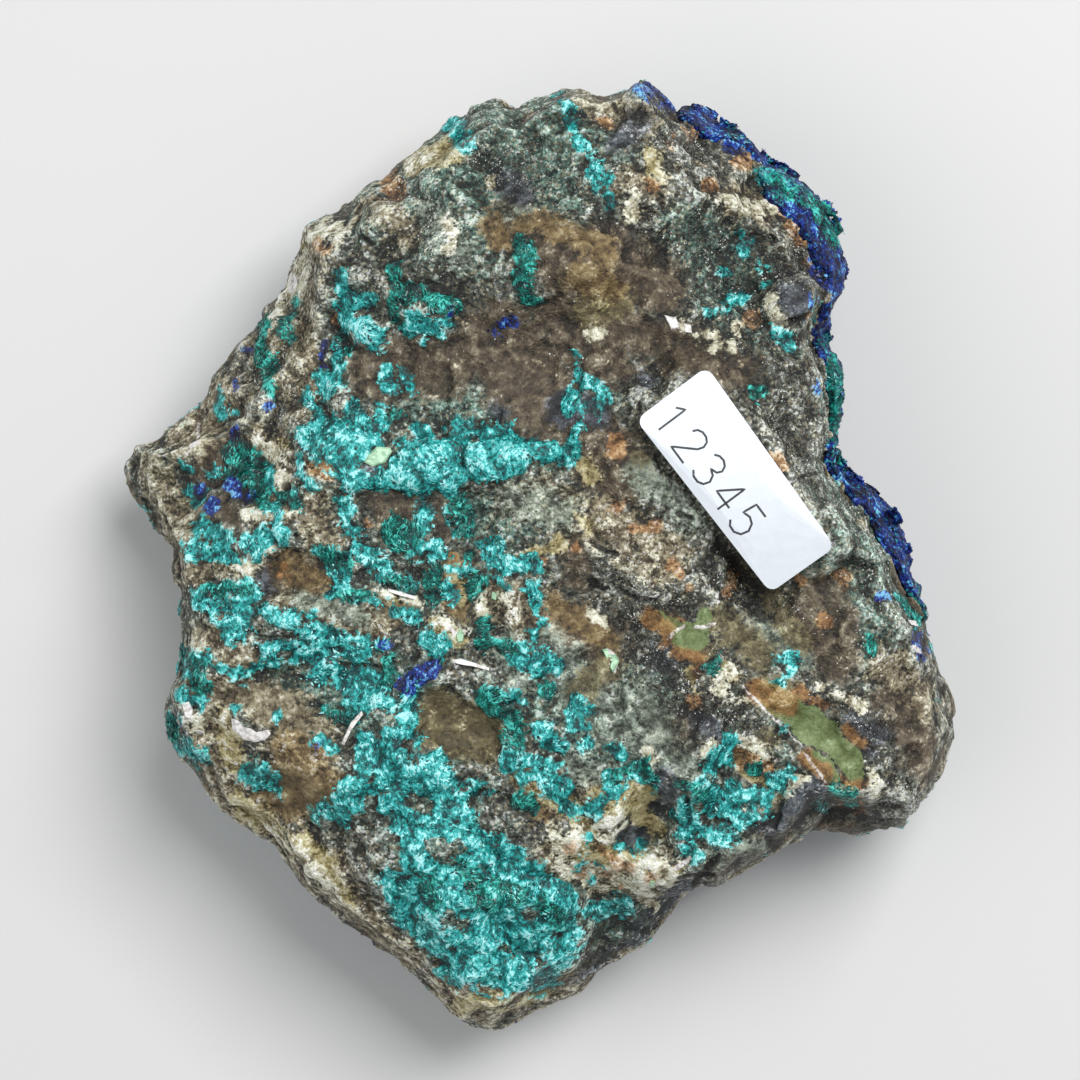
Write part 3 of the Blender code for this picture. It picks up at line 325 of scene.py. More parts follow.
GREEN_STROKES = (
    (13, (682, 636), (698, 632)), (8, (694, 640), (704, 616)), (10, (656, 620), (674, 628)),
    (14, (766, 694), (800, 716)), (17, (806, 722), (830, 738)), (13, (842, 750), (854, 772)),
    (8, (816, 760), (832, 778)),
)
AMBER_STROKES = (
    (10, (648, 618), (666, 628)), (7, (674, 652), (700, 656)), (12, (756, 690), (790, 706)),
    (6, (806, 756), (828, 778)), (6, (848, 730), (864, 746)), (5, (838, 788), (864, 782)),
    (3, (282, 566), (288, 574)), (5, (664, 644), (668, 632)),
)
SLATE_STROKES = (
    (18, (630, 834), (650, 812)), (12, (652, 800), (668, 780)), (12, (664, 785), (672, 800)),
    (10, (702, 722), (714, 736)), (12, (852, 722), (876, 736)), (9, (868, 752)), (12, (800, 790), (818, 788)),
    (14, (772, 822), (790, 806)), (16, (560, 408), (592, 412)), (9, (500, 412)), (20, (798, 302)),
    (16, (585, 985), (640, 940)), (14, (660, 915), (686, 890)), (10, (650, 380)), (12, (676, 640), (660, 660)),
    (9, (350, 478), (372, 470)), (6, (262, 578), (268, 590)), (12, (500, 178), (520, 190)),
    (13, (640, 120), (620, 140)),
)
# Cracks and pits: the surface sinks along these strokes and is painted near black as shade; the last stroke is
# the label's shadow beside its foot, painted as shade.
HOLLOW_AND_SHADE_STROKES = (
    (2.2, (620, 220), (632, 228), (652, 231)), (2, (685, 145), (686, 156)),
    (3, (592, 540), (604, 550), (615, 554)), (2.4, (620, 588), (637, 598), (655, 598)),
    (2, (608, 618), (621, 628)), (3, (678, 512), (691, 517)), (2.4, (778, 322), (796, 320), (813, 312)),
    (1.8, (800, 420), (842, 409)), (1.6, (790, 478), (815, 472)), (3, (694, 882), (706, 868), (718, 858)),
    (2, (641, 105), (642, 120)), (5, (773, 238)), (5, (285, 485)), (3, (296, 534)), (3, (330, 650), (342, 648)),
    (2, (478, 420), (495, 418)), (2, (612, 100), (618, 112)), (3, (394, 588), (384, 584)),
    (2.4, (700, 722), (690, 736)), (3, (686, 800), (690, 820)), (2.4, (362, 236), (372, 244)),
    (3, (730, 560), (762, 592)),
)
SMOOTH_STROKES = (
    (26, (435, 725), (475, 728)), (24, (808, 722), (838, 750)), (14, (688, 640)), (20, (520, 380), (560, 400)),
    (16, (630, 835), (655, 800)), (20, (290, 790), (330, 800)), (14, (798, 302)), (14, (772, 812), (790, 806)),
)

# Where the rock shows through the malachite, and where it is thick with bright quartz.
BARE_STROKES = (
    (6, (434, 846), (446, 854)), (7, (450, 914), (464, 920)), (4, (404, 928), (412, 934)), (5, (480, 866)),
    (4, (522, 908), (532, 912)), (4, (556, 930)), (6, (414, 802), (426, 808)), (6, (428, 842), (462, 846)),
    (4, (500, 945), (510, 950)), (4, (396, 866)), (4, (474, 802), (486, 810)), (4, (370, 780)),
    (4, (480, 986), (496, 990)), (4, (345, 664)), (4, (222, 616)), (6, (273, 456), (281, 482)),
    (5, (250, 640), (262, 634)), (5, (214, 572), (236, 570)), (5, (272, 600), (296, 596)),
    (5, (240, 655), (252, 650)), (4, (330, 690), (340, 700)), (4, (440, 520), (452, 548)),
    (4, (520, 600), (530, 620)), (4, (412, 596), (424, 606)), (5, (396, 452)), (4, (372, 452)), (4, (512, 548)),
    (4, (478, 560)), (5, (700, 806)), (4, (716, 822)), (5, (748, 806)), (4, (698, 842)),
)
SPARKLE_STROKES = (
    (26, (850, 505), (870, 555)), (24, (735, 420), (800, 430)), (30, (650, 610), (680, 700)),
    (26, (700, 240), (720, 330)), (20, (760, 330), (800, 380)), (20, (800, 440), (830, 500)),
    (18, (890, 560), (900, 620)), (24, (470, 130), (540, 190)), (20, (640, 110), (700, 150)),
    (20, (840, 580), (860, 640)), (18, (410, 190), (450, 250)), (24, (600, 560), (650, 600)),
    (18, (880, 720), (900, 790)), (16, (740, 580), (800, 600)), (20, (700, 640), (720, 700)),
    (14, (540, 420), (600, 440)), (22, (705, 690), (750, 745)), (18, (815, 690), (850, 712)),
    (24, (240, 320), (290, 400)), (24, (640, 640), (690, 700)), (18, (290, 260), (270, 330)),
    (14, (250, 470), (290, 500)), (16, (590, 180), (640, 210)), (20, (790, 250), (800, 290)),
)

# Where a fine green dust lies on the rock: on the malachite and round it.
DUST_STROKES = (
    *MALACHITE_STROKES,
    (50, (450, 170), (540, 180)), (40, (300, 690), (400, 700)), (36, (540, 700), (640, 750)),
    (30, (600, 760), (640, 700)), (30, (830, 580), (870, 640)), (24, (420, 390), (480, 410)),
    (30, (420, 510), (520, 520)), (30, (700, 230), (740, 320)), (24, (840, 480), (880, 560)),
    (26, (150, 470), (170, 530)), (40, (430, 110), (600, 120)), (30, (380, 210), (470, 240)),
    (30, (580, 900), (640, 930)),
)

# Flat chips that lie on the stone, by their outlines in pixels.
CALCITE_FLAKES = (
    ((231, 718), (238, 720), (243, 726), (251, 728), (257, 732), (269, 729), (271, 733), (266, 740), (254, 742),
     (242, 739), (232, 729)),
    ((362, 710), (351, 721), (345, 734), (341, 743), (344, 745), (351, 730), (357, 722), (363, 714)),
    ((452, 659), (461, 658), (474, 662), (489, 667), (489, 670), (474, 666), (461, 664), (454, 662)),
    ((182, 703), (189, 701), (193, 710), (191, 720), (185, 717)),
    ((185, 732), (199, 729), (205, 732), (199, 737), (188, 738)),
    ((388, 588), (401, 591), (416, 596), (415, 599), (400, 595), (388, 591)),
    ((907, 619), (919, 621), (921, 627), (910, 624)), ((664, 314), (676, 317), (680, 327), (671, 329)),
    ((683, 322), (691, 324), (692, 333), (685, 332)), ((292, 272), (296, 280), (295, 291), (291, 286)),
)
MINT_CHIPS = (
    ((367, 455), (377, 446), (390, 447), (392, 451), (385, 462), (373, 466), (365, 462)),
    ((602, 649), (607, 648), (609, 654), (616, 654), (619, 661), (613, 672), (610, 668), (612, 661),
     (606, 657)),
    ((460, 628), (464, 633), (463, 641), (458, 642), (456, 634)),
    ((492, 591), (497, 593), (496, 600), (491, 598)), ((650, 880), (655, 881), (655, 888), (649, 887)),
)
# How far a chip stands out of the stone and reaches into it, and how wide its bevelled top is.
FLAKE_PROUD = 0.26 * MM
FLAKE_DEEP = 0.3 * MM
FLAKE_BEVEL = 0.82

# The figures on the label, each drawn with one pen stroke in a box one unit high.
FIGURES = {
    "1": ((0.1, 0.8), (0.32, 1), (0.32, 0)),
    "2": ((0.02, 0.78), (0.08, 0.92), (0.22, 1), (0.4, 1), (0.54, 0.92), (0.6, 0.76), (0.54, 0.58), (0, 0),
          (0.62, 0)),
    "3": ((0.03, 0.88), (0.16, 0.98), (0.34, 1), (0.5, 0.92), (0.57, 0.77), (0.5, 0.62), (0.3, 0.55),
          (0.5, 0.48), (0.6, 0.3), (0.54, 0.11), (0.38, 0.01), (0.18, 0.01), (0.02, 0.12)),
    "4": ((0.46, 0), (0.46, 1), (0, 0.3), (0.64, 0.3)),
    "5": ((0.56, 1), (0.1, 1), (0.05, 0.56), (0.28, 0.63), (0.48, 0.56), (0.6, 0.36), (0.54, 0.12), (0.36, 0),
          (0.14, 0.01), (0, 0.13)),
}
FIGURE_ROW = "12345"
FIGURE_PITCH = 2.85 * MM
FIGURE_START = (-9.0 * MM, -2.9 * MM)
INK_STEP = 0.25 * MM
INK_PROUD = 0.015 * MM

# How closely the visible surfaces are cut up and eased, and how much of what that takes off is given back.
STONE_CUTS = 5
CRUST_CUTS = 6
EASE_ROUNDS = 12
EASE_BACK = 0.52
LOST_REACH = 1.2 * MM
LOST_SHARE = 0.9

# How the surfaces are roughened: the size and steepness of the chip faces, and how far each thing stands out.
FACET_SIZES = ((4.6 * MM, 0.36), (2.1 * MM, 0.32), (1.0 * MM, 0.28))
FACET_SEED = 70
FACETS_MOST = 0.55 * MM
SMOOTH_SHARE = 0.75
CRUST_FACETS = (1.3 * MM, 0.3, 81)
CRUST_GRAIN = 0.08 * MM
MALACHITE_RISE = 0.16 * MM
CREAM_RISE = 0.15 * MM
HOLLOW_DEPTH = 0.5 * MM
FULL_RELIEF = 0.22 * MM

# How far the rock rises to meet the CAD model's crusts.
CRUST_REACH = 2.2 * MM
CRUST_SHARE = 0.75
UNDER_AZURITE = 0.6 * MM

# The level patch that the stone rests on stays as it is.
REST_HEIGHTS = (0.05 * MM, 0.6 * MM)

# The rock stays down under the label's paper, which lies above this height, and a little way round it.
LABEL_ABOVE = 15 * MM
LABEL_CLEARANCE = 1.2 * MM

# How far the painted edges wander, and how ragged they are. The strokes hold where the surface faces up and lies
# high enough, and give way to noise on the walls.
WANDER_PX = 3.6
STILL_WANDER_PX = 1.5
BROAD_SHARE = 1.2
UP_FACING = (-0.02, 0.34)
UP_HEIGHTS = (9 * MM, 14.5 * MM)
EVEN_RAGGED = 0.3
RAGGED = {"malachite": 0.7, "deep": 0.5, "azurite": 0.5, "cream": 0.7, "ochre": 0.6, "tan": 0.5, "bare": 0.9}

# Over what distance the headings of the scattered crystals turn.
FLOW_SIZE = 4.5 * MM

# The mask of each finish, and of the painted shade: its strokes, and how soft their edges are, in pixels.
ATTRIBUTES = {
    "malachite": (MALACHITE_STROKES, 7),
    "deep": (DEEP_STROKES, 6),
    "azurite": (AZURITE_STROKES, 6),
    "brown": (BROWN_STROKES, 14),
    "tan": (TAN_STROKES, 14),
    "cream": (CREAM_STROKES, 7),
    "white": (WHITE_STROKES, 4),
    "ochre": (OCHRE_STROKES, 4),
    "amber": (AMBER_STROKES, 6),
    "straw": (STRAW_STROKES, 6),
    "field": (FIELD_STROKES, 14),
    "olive": (OLIVE_STROKES, 9),
    "green": (GREEN_STROKES, 4),
    "cobble": (COBBLE_STROKES, 8),
    "shade": (PAINTED_SHADE_STROKES, 16),
    "slate": (SLATE_STROKES, 9),
    "hollow": (HOLLOW_AND_SHADE_STROKES, 4),
    "smooth": (SMOOTH_STROKES, 9),
    "bare": (BARE_STROKES, 4),
    "sparkle": (SPARKLE_STROKES, 16),
    "dust": (DUST_STROKES, 30),
}


def place_of(readings, height):
    """Where readings in pixels lie, seen from above, on a surface at this height."""
    scale = PX * (VIEW_HEIGHT - (height - RIM_HEIGHT)) / VIEW_HEIGHT
    return np.subtract(readings, STONE_MIDDLE_PX) * (scale, -scale) + READINGS_ORIGIN


LABEL_MIDDLE = place_of(LABEL_MIDDLE_PX, BACK_HEIGHT)


def directions_of(readings):
    """(degrees, pixels) of readings round the stone's middle."""
    away = np.subtract(readings, STONE_MIDDLE_PX)
    return np.degrees(np.arctan2(away[:, 1], away[:, 0])), np.hypot(*away.T)


def readings_of(places):
    """Where places on the stone show in the photograph, in pixels."""
    scale = PX * (VIEW_HEIGHT - (places[:, 2] - RIM_HEIGHT)) / VIEW_HEIGHT
    flat = (places[:, :2] - READINGS_ORIGIN) / scale[:, None]
    return flat * (1, -1) + STONE_MIDDLE_PX


def outline_reach(turns):
    """How far the photographed outline lies from the middle, in pixels, in these directions."""
    outline_turns, radii = directions_of(OUTLINE_PX)
    order = np.argsort(outline_turns)
    return np.interp(turns, outline_turns[order], radii[order], period=360)


def model_reach():
    """How far from the middle the CAD model's outline shows, in pixels, in each direction."""
    reach = np.zeros(len(DIRECTIONS))
    for name in ("stone", "azurite_crust"):
        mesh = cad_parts[name].data
        ends = np.array([[mesh.vertices[at].co for at in edge.vertices] for edge in mesh.edges])
        for share in np.linspace(0, 1, EDGE_SPOTS):
            turns, radii = directions_of(readings_of(ends[:, 0] + share * (ends[:, 1] - ends[:, 0])))
            nearest = np.round((turns + 180) / DIRECTION_STEP).astype(int) % len(DIRECTIONS)
            np.maximum.at(reach, nearest, radii)
    return reach


def held_to_outline(places):
    """Places that reach beyond the photographed outline drawn back most of the way to it."""
    readings = readings_of(places)
    turns, radii = directions_of(readings)
    limit = outline_reach(turns) - RIM_CRYSTALS_PX
    beyond = np.maximum(radii - limit, 0) * PX * HELD_BACK
    moved = places.copy()
    moved[:, :2] -= (readings - STONE_MIDDLE_PX) / radii[:, None] * (1, -1) * beyond[:, None]
    return moved


def spread_to_outline(places):
    """Places near the rim moved outward, as far as the photographed outline lies beyond the CAD model's."""
    reach = model_reach()
    short = outline_reach(DIRECTIONS) - reach + LOST_TO_EASE_PX
    short = np.clip(short, *MOST_SPREAD_PX)
    short = (short + np.roll(short, 1) + np.roll(short, -1)) / 3
    readings = readings_of(places)
    turns, radii = directions_of(readings)
    share = smoothstep(*OUTER_BAND, radii / np.interp(turns, DIRECTIONS, reach, period=360))
    share *= smoothstep(*FOOT_HEIGHTS, places[:, 2])
    out = (readings - STONE_MIDDLE_PX) / radii[:, None] * (1, -1)
    moved = places.copy()
    moved[:, :2] += out * (share * PX * np.interp(turns, DIRECTIONS, short, period=360))[:, None]
    return moved


def smoothstep(low, high, value):
    t = np.clip((value - low) / (high - low), 0, 1)
    return t * t * (3 - 2 * t)


def noise_over(places, size, octaves=3, shift=0):
    """Smooth noise over the places, about -1 to 1, with features of about this size."""
    spots = (places / size + shift).tolist()
    return np.array([noise.fractal(spot, 1, 2, octaves) for spot in spots])


def closeness(readings, strokes, edge):
    """1 well inside a stroke, 0.5 at its edge and 0 beyond, for each reading."""
    best = np.zeros(len(readings))
    for reach, *points in strokes:
        for start, end in zip(points, points[1:] or points):
            span = np.subtract(end, start)
            along = np.clip((readings - start) @ span / max(span @ span, 1e-9), 0, 1)
            gap = np.hypot(*(readings - start - along[:, None] * span).T)
            best = np.maximum(best, np.clip(0.5 + (reach - gap) / (2 * edge), 0, 1))
    return best


def facets(places, size, steepness, seed):
    """Flat-faced relief: each place takes the tilted plane of the nearest of many scattered sites."""
    rng = np.random.default_rng(seed)
    reach = np.ptp(places, axis=0)
    area = 2 * (reach[0] * reach[1] + reach[1] * reach[2] + reach[0] * reach[2])
    sites = places[rng.choice(len(places), int(area / size**2))]
    tilts = rng.normal(scale=steepness / 1.7, size=sites.shape)
    lifts = rng.uniform(-0.25, 0.25, len(sites)) * size * steepness
    tree = kdtree.KDTree(len(sites))
    for number, site in enumerate(sites):
        tree.insert(site, number)
    tree.balance()
    nearest = np.array([tree.find(place)[1] for place in places])
    return ((places - sites[nearest]) * tilts[nearest]).sum(1) + lifts[nearest]


def mesh_arrays(mesh):
    """(places, normals) of a mesh's vertices."""
    places = np.empty(len(mesh.vertices) * 3, np.float32)
    mesh.vertices.foreach_get("co", places)
    normals = np.empty(len(mesh.vertices) * 3, np.float32)
    mesh.vertices.foreach_get("normal", normals)
    return places.reshape(-1, 3).astype(float), normals.reshape(-1, 3).astype(float)


def eased(mesh, values, rounds, pushed_back=0.0):
    """The values at a mesh's vertices, each drawn towards its neighbours' mean, and then pushed back a little
    where a shape has to keep its size."""
    ends = np.empty(len(mesh.edges) * 2, np.int32)
    mesh.edges.foreach_get("vertices", ends)
    first, second = ends.reshape(-1, 2).T
    count = len(mesh.vertices)
    neighbours = np.bincount(first, minlength=count) + np.bincount(second, minlength=count)
    values = np.atleast_2d(values.T).T
    for _ in range(rounds):
        for share in (0.5, -pushed_back):
            mean = np.stack(
                [
                    np.bincount(first, column[second], count) + np.bincount(second, column[first], count)
                    for column in values.T
                ],
                axis=1,
            )
            values = values + share * (mean / neighbours[:, None] - values)
    return values


def face_corners(mesh):
    """The corners of a mesh's triangles."""
    mesh.calc_loop_triangles()
    corners = np.empty(len(mesh.loop_triangles) * 3, np.int32)
    mesh.loop_triangles.foreach_get("vertices", corners)
    return corners.reshape(-1, 3)


def set_places(mesh, places):
    mesh.vertices.foreach_set("co", places.astype(np.float32).ravel())
    mesh.update()


def add_attribute(mesh, name, values):
    layer = mesh.attributes.new(name, "FLOAT", "POINT")
    layer.data.foreach_set("value", np.asarray(values, np.float32))


def attribute(mesh, name):
    values = np.empty(len(mesh.vertices), np.float32)
    mesh.attributes[name].data.foreach_get("value", values)
    return values


def surface_of(mesh):
    """A mesh's faces as a tree that rays and near points are found in."""
    return BVHTree.FromPolygons([v.co for v in mesh.vertices], [p.vertices for p in mesh.polygons])


def height_below(surface, x, y):
    """How high a surface lies straight below a spot above the stone, or None where it has none."""
    spot = surface.ray_cast(Vector((x, y, CAD_BOX[1][2] + MM)), Vector((0, 0, -1)))[0]
    return None if spot is None else spot.z


def add_object(name, data):
    made = bpy.data.objects.new(name, data)
    bpy.context.scene.collection.objects.link(made)
    return made


def add_built(name, bm):
    """A new piece from a finished bmesh."""
    mesh = bpy.data.meshes.new(name)
    bm.to_mesh(mesh)
    bm.free()
    return add_object(name, mesh)


def deselect_all():
    bpy.ops.object.select_all(action="DESELECT")


def make_active(piece):
    deselect_all()
    piece.select_set(True)
    bpy.context.view_layer.objects.active = piece


def finely_cut_copy(node, name, cuts):
    """A copy of a CAD node with its loose triangles joined, cut up finely and eased at its creases."""
    piece = add_object(name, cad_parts[node].data.copy())
    piece.data.materials.clear()
    make_active(piece)
    bpy.ops.object.mode_set(mode="EDIT")
    bpy.ops.mesh.select_all(action="SELECT")
    bpy.ops.mesh.remove_doubles(threshold=1e-6)
    bpy.ops.mesh.subdivide(number_cuts=cuts)
    bpy.ops.object.mode_set(mode="OBJECT")
    bpy.ops.object.shade_smooth()
    places, _ = mesh_arrays(piece.data)
    set_places(piece.data, eased(piece.data, places, EASE_ROUNDS, EASE_BACK))
    places, normals = mesh_arrays(piece.data)
    lost = lost_by_easing(node, places, normals)
    places += normals * eased(piece.data, lost, 3) * LOST_SHARE
    set_places(piece.data, spread_to_outline(places))
    return piece


def lost_by_easing(node, places, normals):
    """How far each place has sunk below the surface of its CAD node."""
    whole = surface_of(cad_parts[node].data)
    lost = np.zeros(len(places))
    for number, (place, out) in enumerate(zip(places, normals)):
        spot, _, _, gap = whole.find_nearest(Vector(place), LOST_REACH)
        if spot is not None and (spot - Vector(place)).dot(Vector(out)) > 0:
            lost[number] = gap
    return lost


def as_light(colour):
    """The light that a screen colour of 0 to 255 in each channel stands for."""
    return tuple(
        ((channel / 255 + 0.055) / 1.055) ** 2.4 if channel > 10 else channel / 3295 for channel in colour
    )


class Wiring:
    """Places nodes in a tree and links them. An input is named, with _ for a space, or _ and its number."""

    def __init__(self, tree):
        self.tree = tree

    def node(self, kind, settings=(), **inputs):
        made = self.tree.nodes.new(kind)
        for name, value in dict(settings).items():
            setattr(made, name, value)
        for name, value in inputs.items():
            self.set(made, name, value)
        return made

    def set(self, node, name, value):
        socket = node.inputs[int(name[1:])] if name[1:].isdigit() else node.inputs[name.replace("_", " ")]
        if isinstance(value, bpy.types.NodeSocket):
            self.tree.links.new(value, socket)
        else:
            socket.default_value = value

    def math(self, operation, first, second=0.0, third=0.0, clamp=False):
        settings = {"operation": operation, "use_clamp": clamp}
        return self.node("ShaderNodeMath", settings, _0=first, _1=second, _2=third).outputs[0]

    def mix(self, share, first, second):
        return self.node("ShaderNodeMix", {"data_type": "RGBA"}, _0=share, _6=first, _7=second).outputs[2]

    def ramp(self, value, *stops):
        made = self.node("ShaderNodeValToRGB", _0=value)
        elements = made.color_ramp.elements
        while len(elements) < len(stops):
            elements.new(0.5)
        for element, (place, colour) in zip(elements, stops):
            element.position = place
            element.color = (*as_light(colour), 1)
        return made.outputs[0]

    def step(self, value, low, high):
        """0 below low, 1 above high and eased between them."""
        settings = {"interpolation_type": "SMOOTHSTEP"}
        return self.node("ShaderNodeMapRange", settings, _0=value, _1=low, _2=high).outputs[0]

    def noise(self, place, scale, detail=3.0, roughness=0.55):
        made = self.node("ShaderNodeTexNoise", Vector=place, Scale=scale, Detail=detail, Roughness=roughness)
        return made.outputs["Fac"]

    def cells(self, place, scale):
        return self.node("ShaderNodeTexVoronoi", Vector=place, Scale=scale)

    def painted(self, name):
        return self.node("ShaderNodeAttribute", {"attribute_name": name}).outputs["Fac"]

    def object_place(self):
        return self.node("ShaderNodeTexCoord").outputs["Object"]


def new_group(name, inputs, outputs):
    """An empty shader group with these sockets, and its wiring, input node and output node."""
    tree = bpy.data.node_groups.new(name, "ShaderNodeTree")
    for socket, kind, value in inputs:
        made = tree.interface.new_socket(socket, in_out="INPUT", socket_type=kind)
        if value is not None:
            made.default_value = value
    for socket, kind in outputs:
        tree.interface.new_socket(socket, in_out="OUTPUT", socket_type=kind)
    wiring = Wiring(tree)
    return wiring, wiring.node("NodeGroupInput"), wiring.node("NodeGroupOutput")


def grain_group():
    """Crystalline grain: dark and light grains, their height, and the few that glint."""
    w, given, result = new_group(
        "crystalline grain",
        [("Grain Size", "NodeSocketFloat", 0.3)],
        [("Tone", "NodeSocketFloat"), ("Height", "NodeSocketFloat"), ("Glint", "NodeSocketFloat"),
         ("Kind", "NodeSocketFloat")],
    )
    place = w.object_place()
    scale = w.math("DIVIDE", 1000.0, given.outputs["Grain Size"])
    grains = w.cells(place, w.math("MULTIPLY", scale, 1.3))
    fine = w.noise(place, scale, 3.0, 0.68)
    each = w.node("ShaderNodeSeparateColor", _0=grains.outputs["Color"])
    own = w.math("MULTIPLY", w.math("SUBTRACT", each.outputs[0], 0.5), 0.9)
    w.set(result, "Kind", each.outputs[2])
    w.set(result, "Tone", w.math("ADD", own, w.math("MULTIPLY_ADD", w.math("SUBTRACT", fine, 0.5), 2.3, 0.5)))
    w.set(result, "Height", w.math("MULTIPLY_ADD", grains.outputs["Distance"], -0.5, fine))
    w.set(result, "Glint", w.step(each.outputs[1], 0.84, 0.9))
    return w.tree


def fibre_group():
    """Silky strands that bend along with the surface: their tone, and their height."""
    w, given, result = new_group(
        "silky strands",
        [("Strand Width", "NodeSocketFloat", 0.2), ("Bend", "NodeSocketFloat", 1.0)],
        [("Tone", "NodeSocketFloat"), ("Height", "NodeSocketFloat")],
    )
    place = w.object_place()
    bend = w.node("ShaderNodeTexNoise", Vector=place, Scale=420.0, Detail=1.0)
    pushed = w.node("ShaderNodeVectorMath", {"operation": "SCALE"}, _0=bend.outputs["Color"])
    w.set(pushed, "Scale", w.math("MULTIPLY", given.outputs["Bend"], 0.006))
    bent = w.node("ShaderNodeVectorMath", {"operation": "ADD"}, _0=place, _1=pushed.outputs[0]).outputs[0]
    narrow = w.node("ShaderNodeMapping", {"vector_type": "POINT"}, Vector=bent, Scale=(1.0, 0.3, 0.6))
    strands = w.noise(narrow.outputs[0], w.math("DIVIDE", 1000.0, given.outputs["Strand Width"]), 2.0, 0.65)
    w.set(result, "Tone", w.math("MULTIPLY_ADD", w.math("SUBTRACT", strands, 0.5), 2.6, 0.5))
    w.set(result, "Height", strands)
    return w.tree


def place_group(wiring, name, **inputs):
    made = wiring.node("ShaderNodeGroup", {"node_tree": bpy.data.node_groups[name]})
    for socket, value in inputs.items():
        wiring.set(made, socket, value)
    return made.outputs


def new_material(name):
    made = bpy.data.materials.new(name)
    made.use_nodes = True
    wiring = Wiring(made.node_tree)
    return made, wiring, made.node_tree.nodes["Principled BSDF"]


def add_bump(wiring, surface, height, distance):
    bump = wiring.node("ShaderNodeBump", Height=height, Distance=distance, Strength=1.0)
    wiring.set(surface, "Normal", bump.outputs[0])


# The colours that each mineral runs through, from its shade to its glints.
MALACHITE_COLOURS = (
    (0.0, (0, 54, 56)), (0.3, (6, 102, 100)), (0.56, (28, 156, 152)), (0.8, (82, 206, 204)),
    (1.05, (180, 246, 246)),
)
DEEP_COLOURS = ((0.1, (0, 34, 34)), (0.45, (0, 84, 76)), (0.75, (8, 134, 120)), (1.0, (80, 208, 194)))
RIM_COLOURS = ((0.1, (6, 42, 64)), (0.42, (12, 84, 102)), (0.7, (46, 140, 150)), (1.0, (160, 224, 228)))
AZURITE_COLOURS = (
    (0.1, (4, 8, 30)), (0.42, (9, 22, 76)), (0.66, (20, 46, 138)), (0.86, (44, 96, 182)), (1.0, (120, 184, 224)),
)
QUARTZ_COLOURS = ((0.0, (30, 30, 27)), (0.4, (80, 81, 74)), (0.7, (126, 127, 119)), (1.0, (222, 224, 217)))
WHITE_COLOURS = ((0.2, (176, 168, 162)), (0.6, (232, 228, 226)))
GLINT_COLOUR = (0.62, 0.63, 0.63, 1)
# Painted shade, near black, laid in the cracks and pits.
PAINTED_HOLLOW_SHADE = (0.008, 0.007, 0.006, 1)
# The colours that each kind of rock and stain runs through, from its darkest to its lightest.
ROCK_COLOURS = {
    "grey": ((0.12, (16, 18, 15)), (0.4, (63, 66, 58)), (0.66, (111, 115, 106)), (0.98, (224, 229, 219))),
    "brown": ((0.08, (34, 29, 21)), (0.42, (77, 65, 50)), (0.7, (112, 99, 79)), (1.0, (176, 168, 144))),
    "tan": ((0.08, (40, 34, 22)), (0.38, (106, 95, 73)), (0.66, (160, 151, 124)), (0.98, (238, 236, 214))),
    "cream": ((0.08, (96, 88, 66)), (0.35, (172, 167, 141)), (0.65, (222, 221, 199)), (0.95, (252, 253, 246))),
    "straw": ((0.05, (92, 82, 48)), (0.38, (160, 147, 100)), (0.68, (200, 192, 148)), (1.0, (240, 238, 212))),
    "field": ((0.08, (56, 61, 52)), (0.4, (110, 120, 106)), (0.7, (156, 168, 152)), (1.0, (216, 226, 208))),
    "amber": ((0.05, (86, 58, 28)), (0.42, (138, 100, 56)), (0.72, (166, 132, 82)), (1.0, (214, 190, 146))),
    "ochre": ((0.1, (64, 40, 20)), (0.4, (136, 94, 54)), (0.7, (192, 148, 98)), (1.0, (246, 220, 184))),
    "olive": ((0.05, (48, 44, 26)), (0.42, (96, 86, 58)), (0.72, (132, 124, 88)), (1.0, (186, 180, 142))),
    "green": ((0.0, (80, 92, 50)), (0.42, (110, 126, 80)), (0.72, (138, 154, 112)), (1.0, (206, 216, 184))),
    "cobble": ((0.05, (56, 45, 27)), (0.4, (108, 88, 55)), (0.7, (146, 126, 86)), (1.0, (198, 186, 148))),
    "slate": ((0.1, (20, 22, 25)), (0.42, (57, 62, 69)), (0.72, (99, 105, 114)), (1.0, (176, 183, 191))),
    "dust": ((0.1, (16, 32, 29)), (0.42, (62, 92, 82)), (0.7, (108, 150, 136)), (1.0, (204, 238, 224))),
}
# The stains laid over the grey rock, in this order, and how strongly each covers it.
STAINS = {
    "brown": 0.9, "tan": 0.9, "field": 0.85, "slate": 0.9, "olive": 0.85, "cobble": 0.85, "straw": 0.85,
    "cream": 1.0, "ochre": 0.75,
}
# The finishes that no quartz grains lie on.
KEPT_CLEAR = ("malachite", "deep", "azurite", "smooth", "cream", "green", "white", "cobble", "straw", "amber")


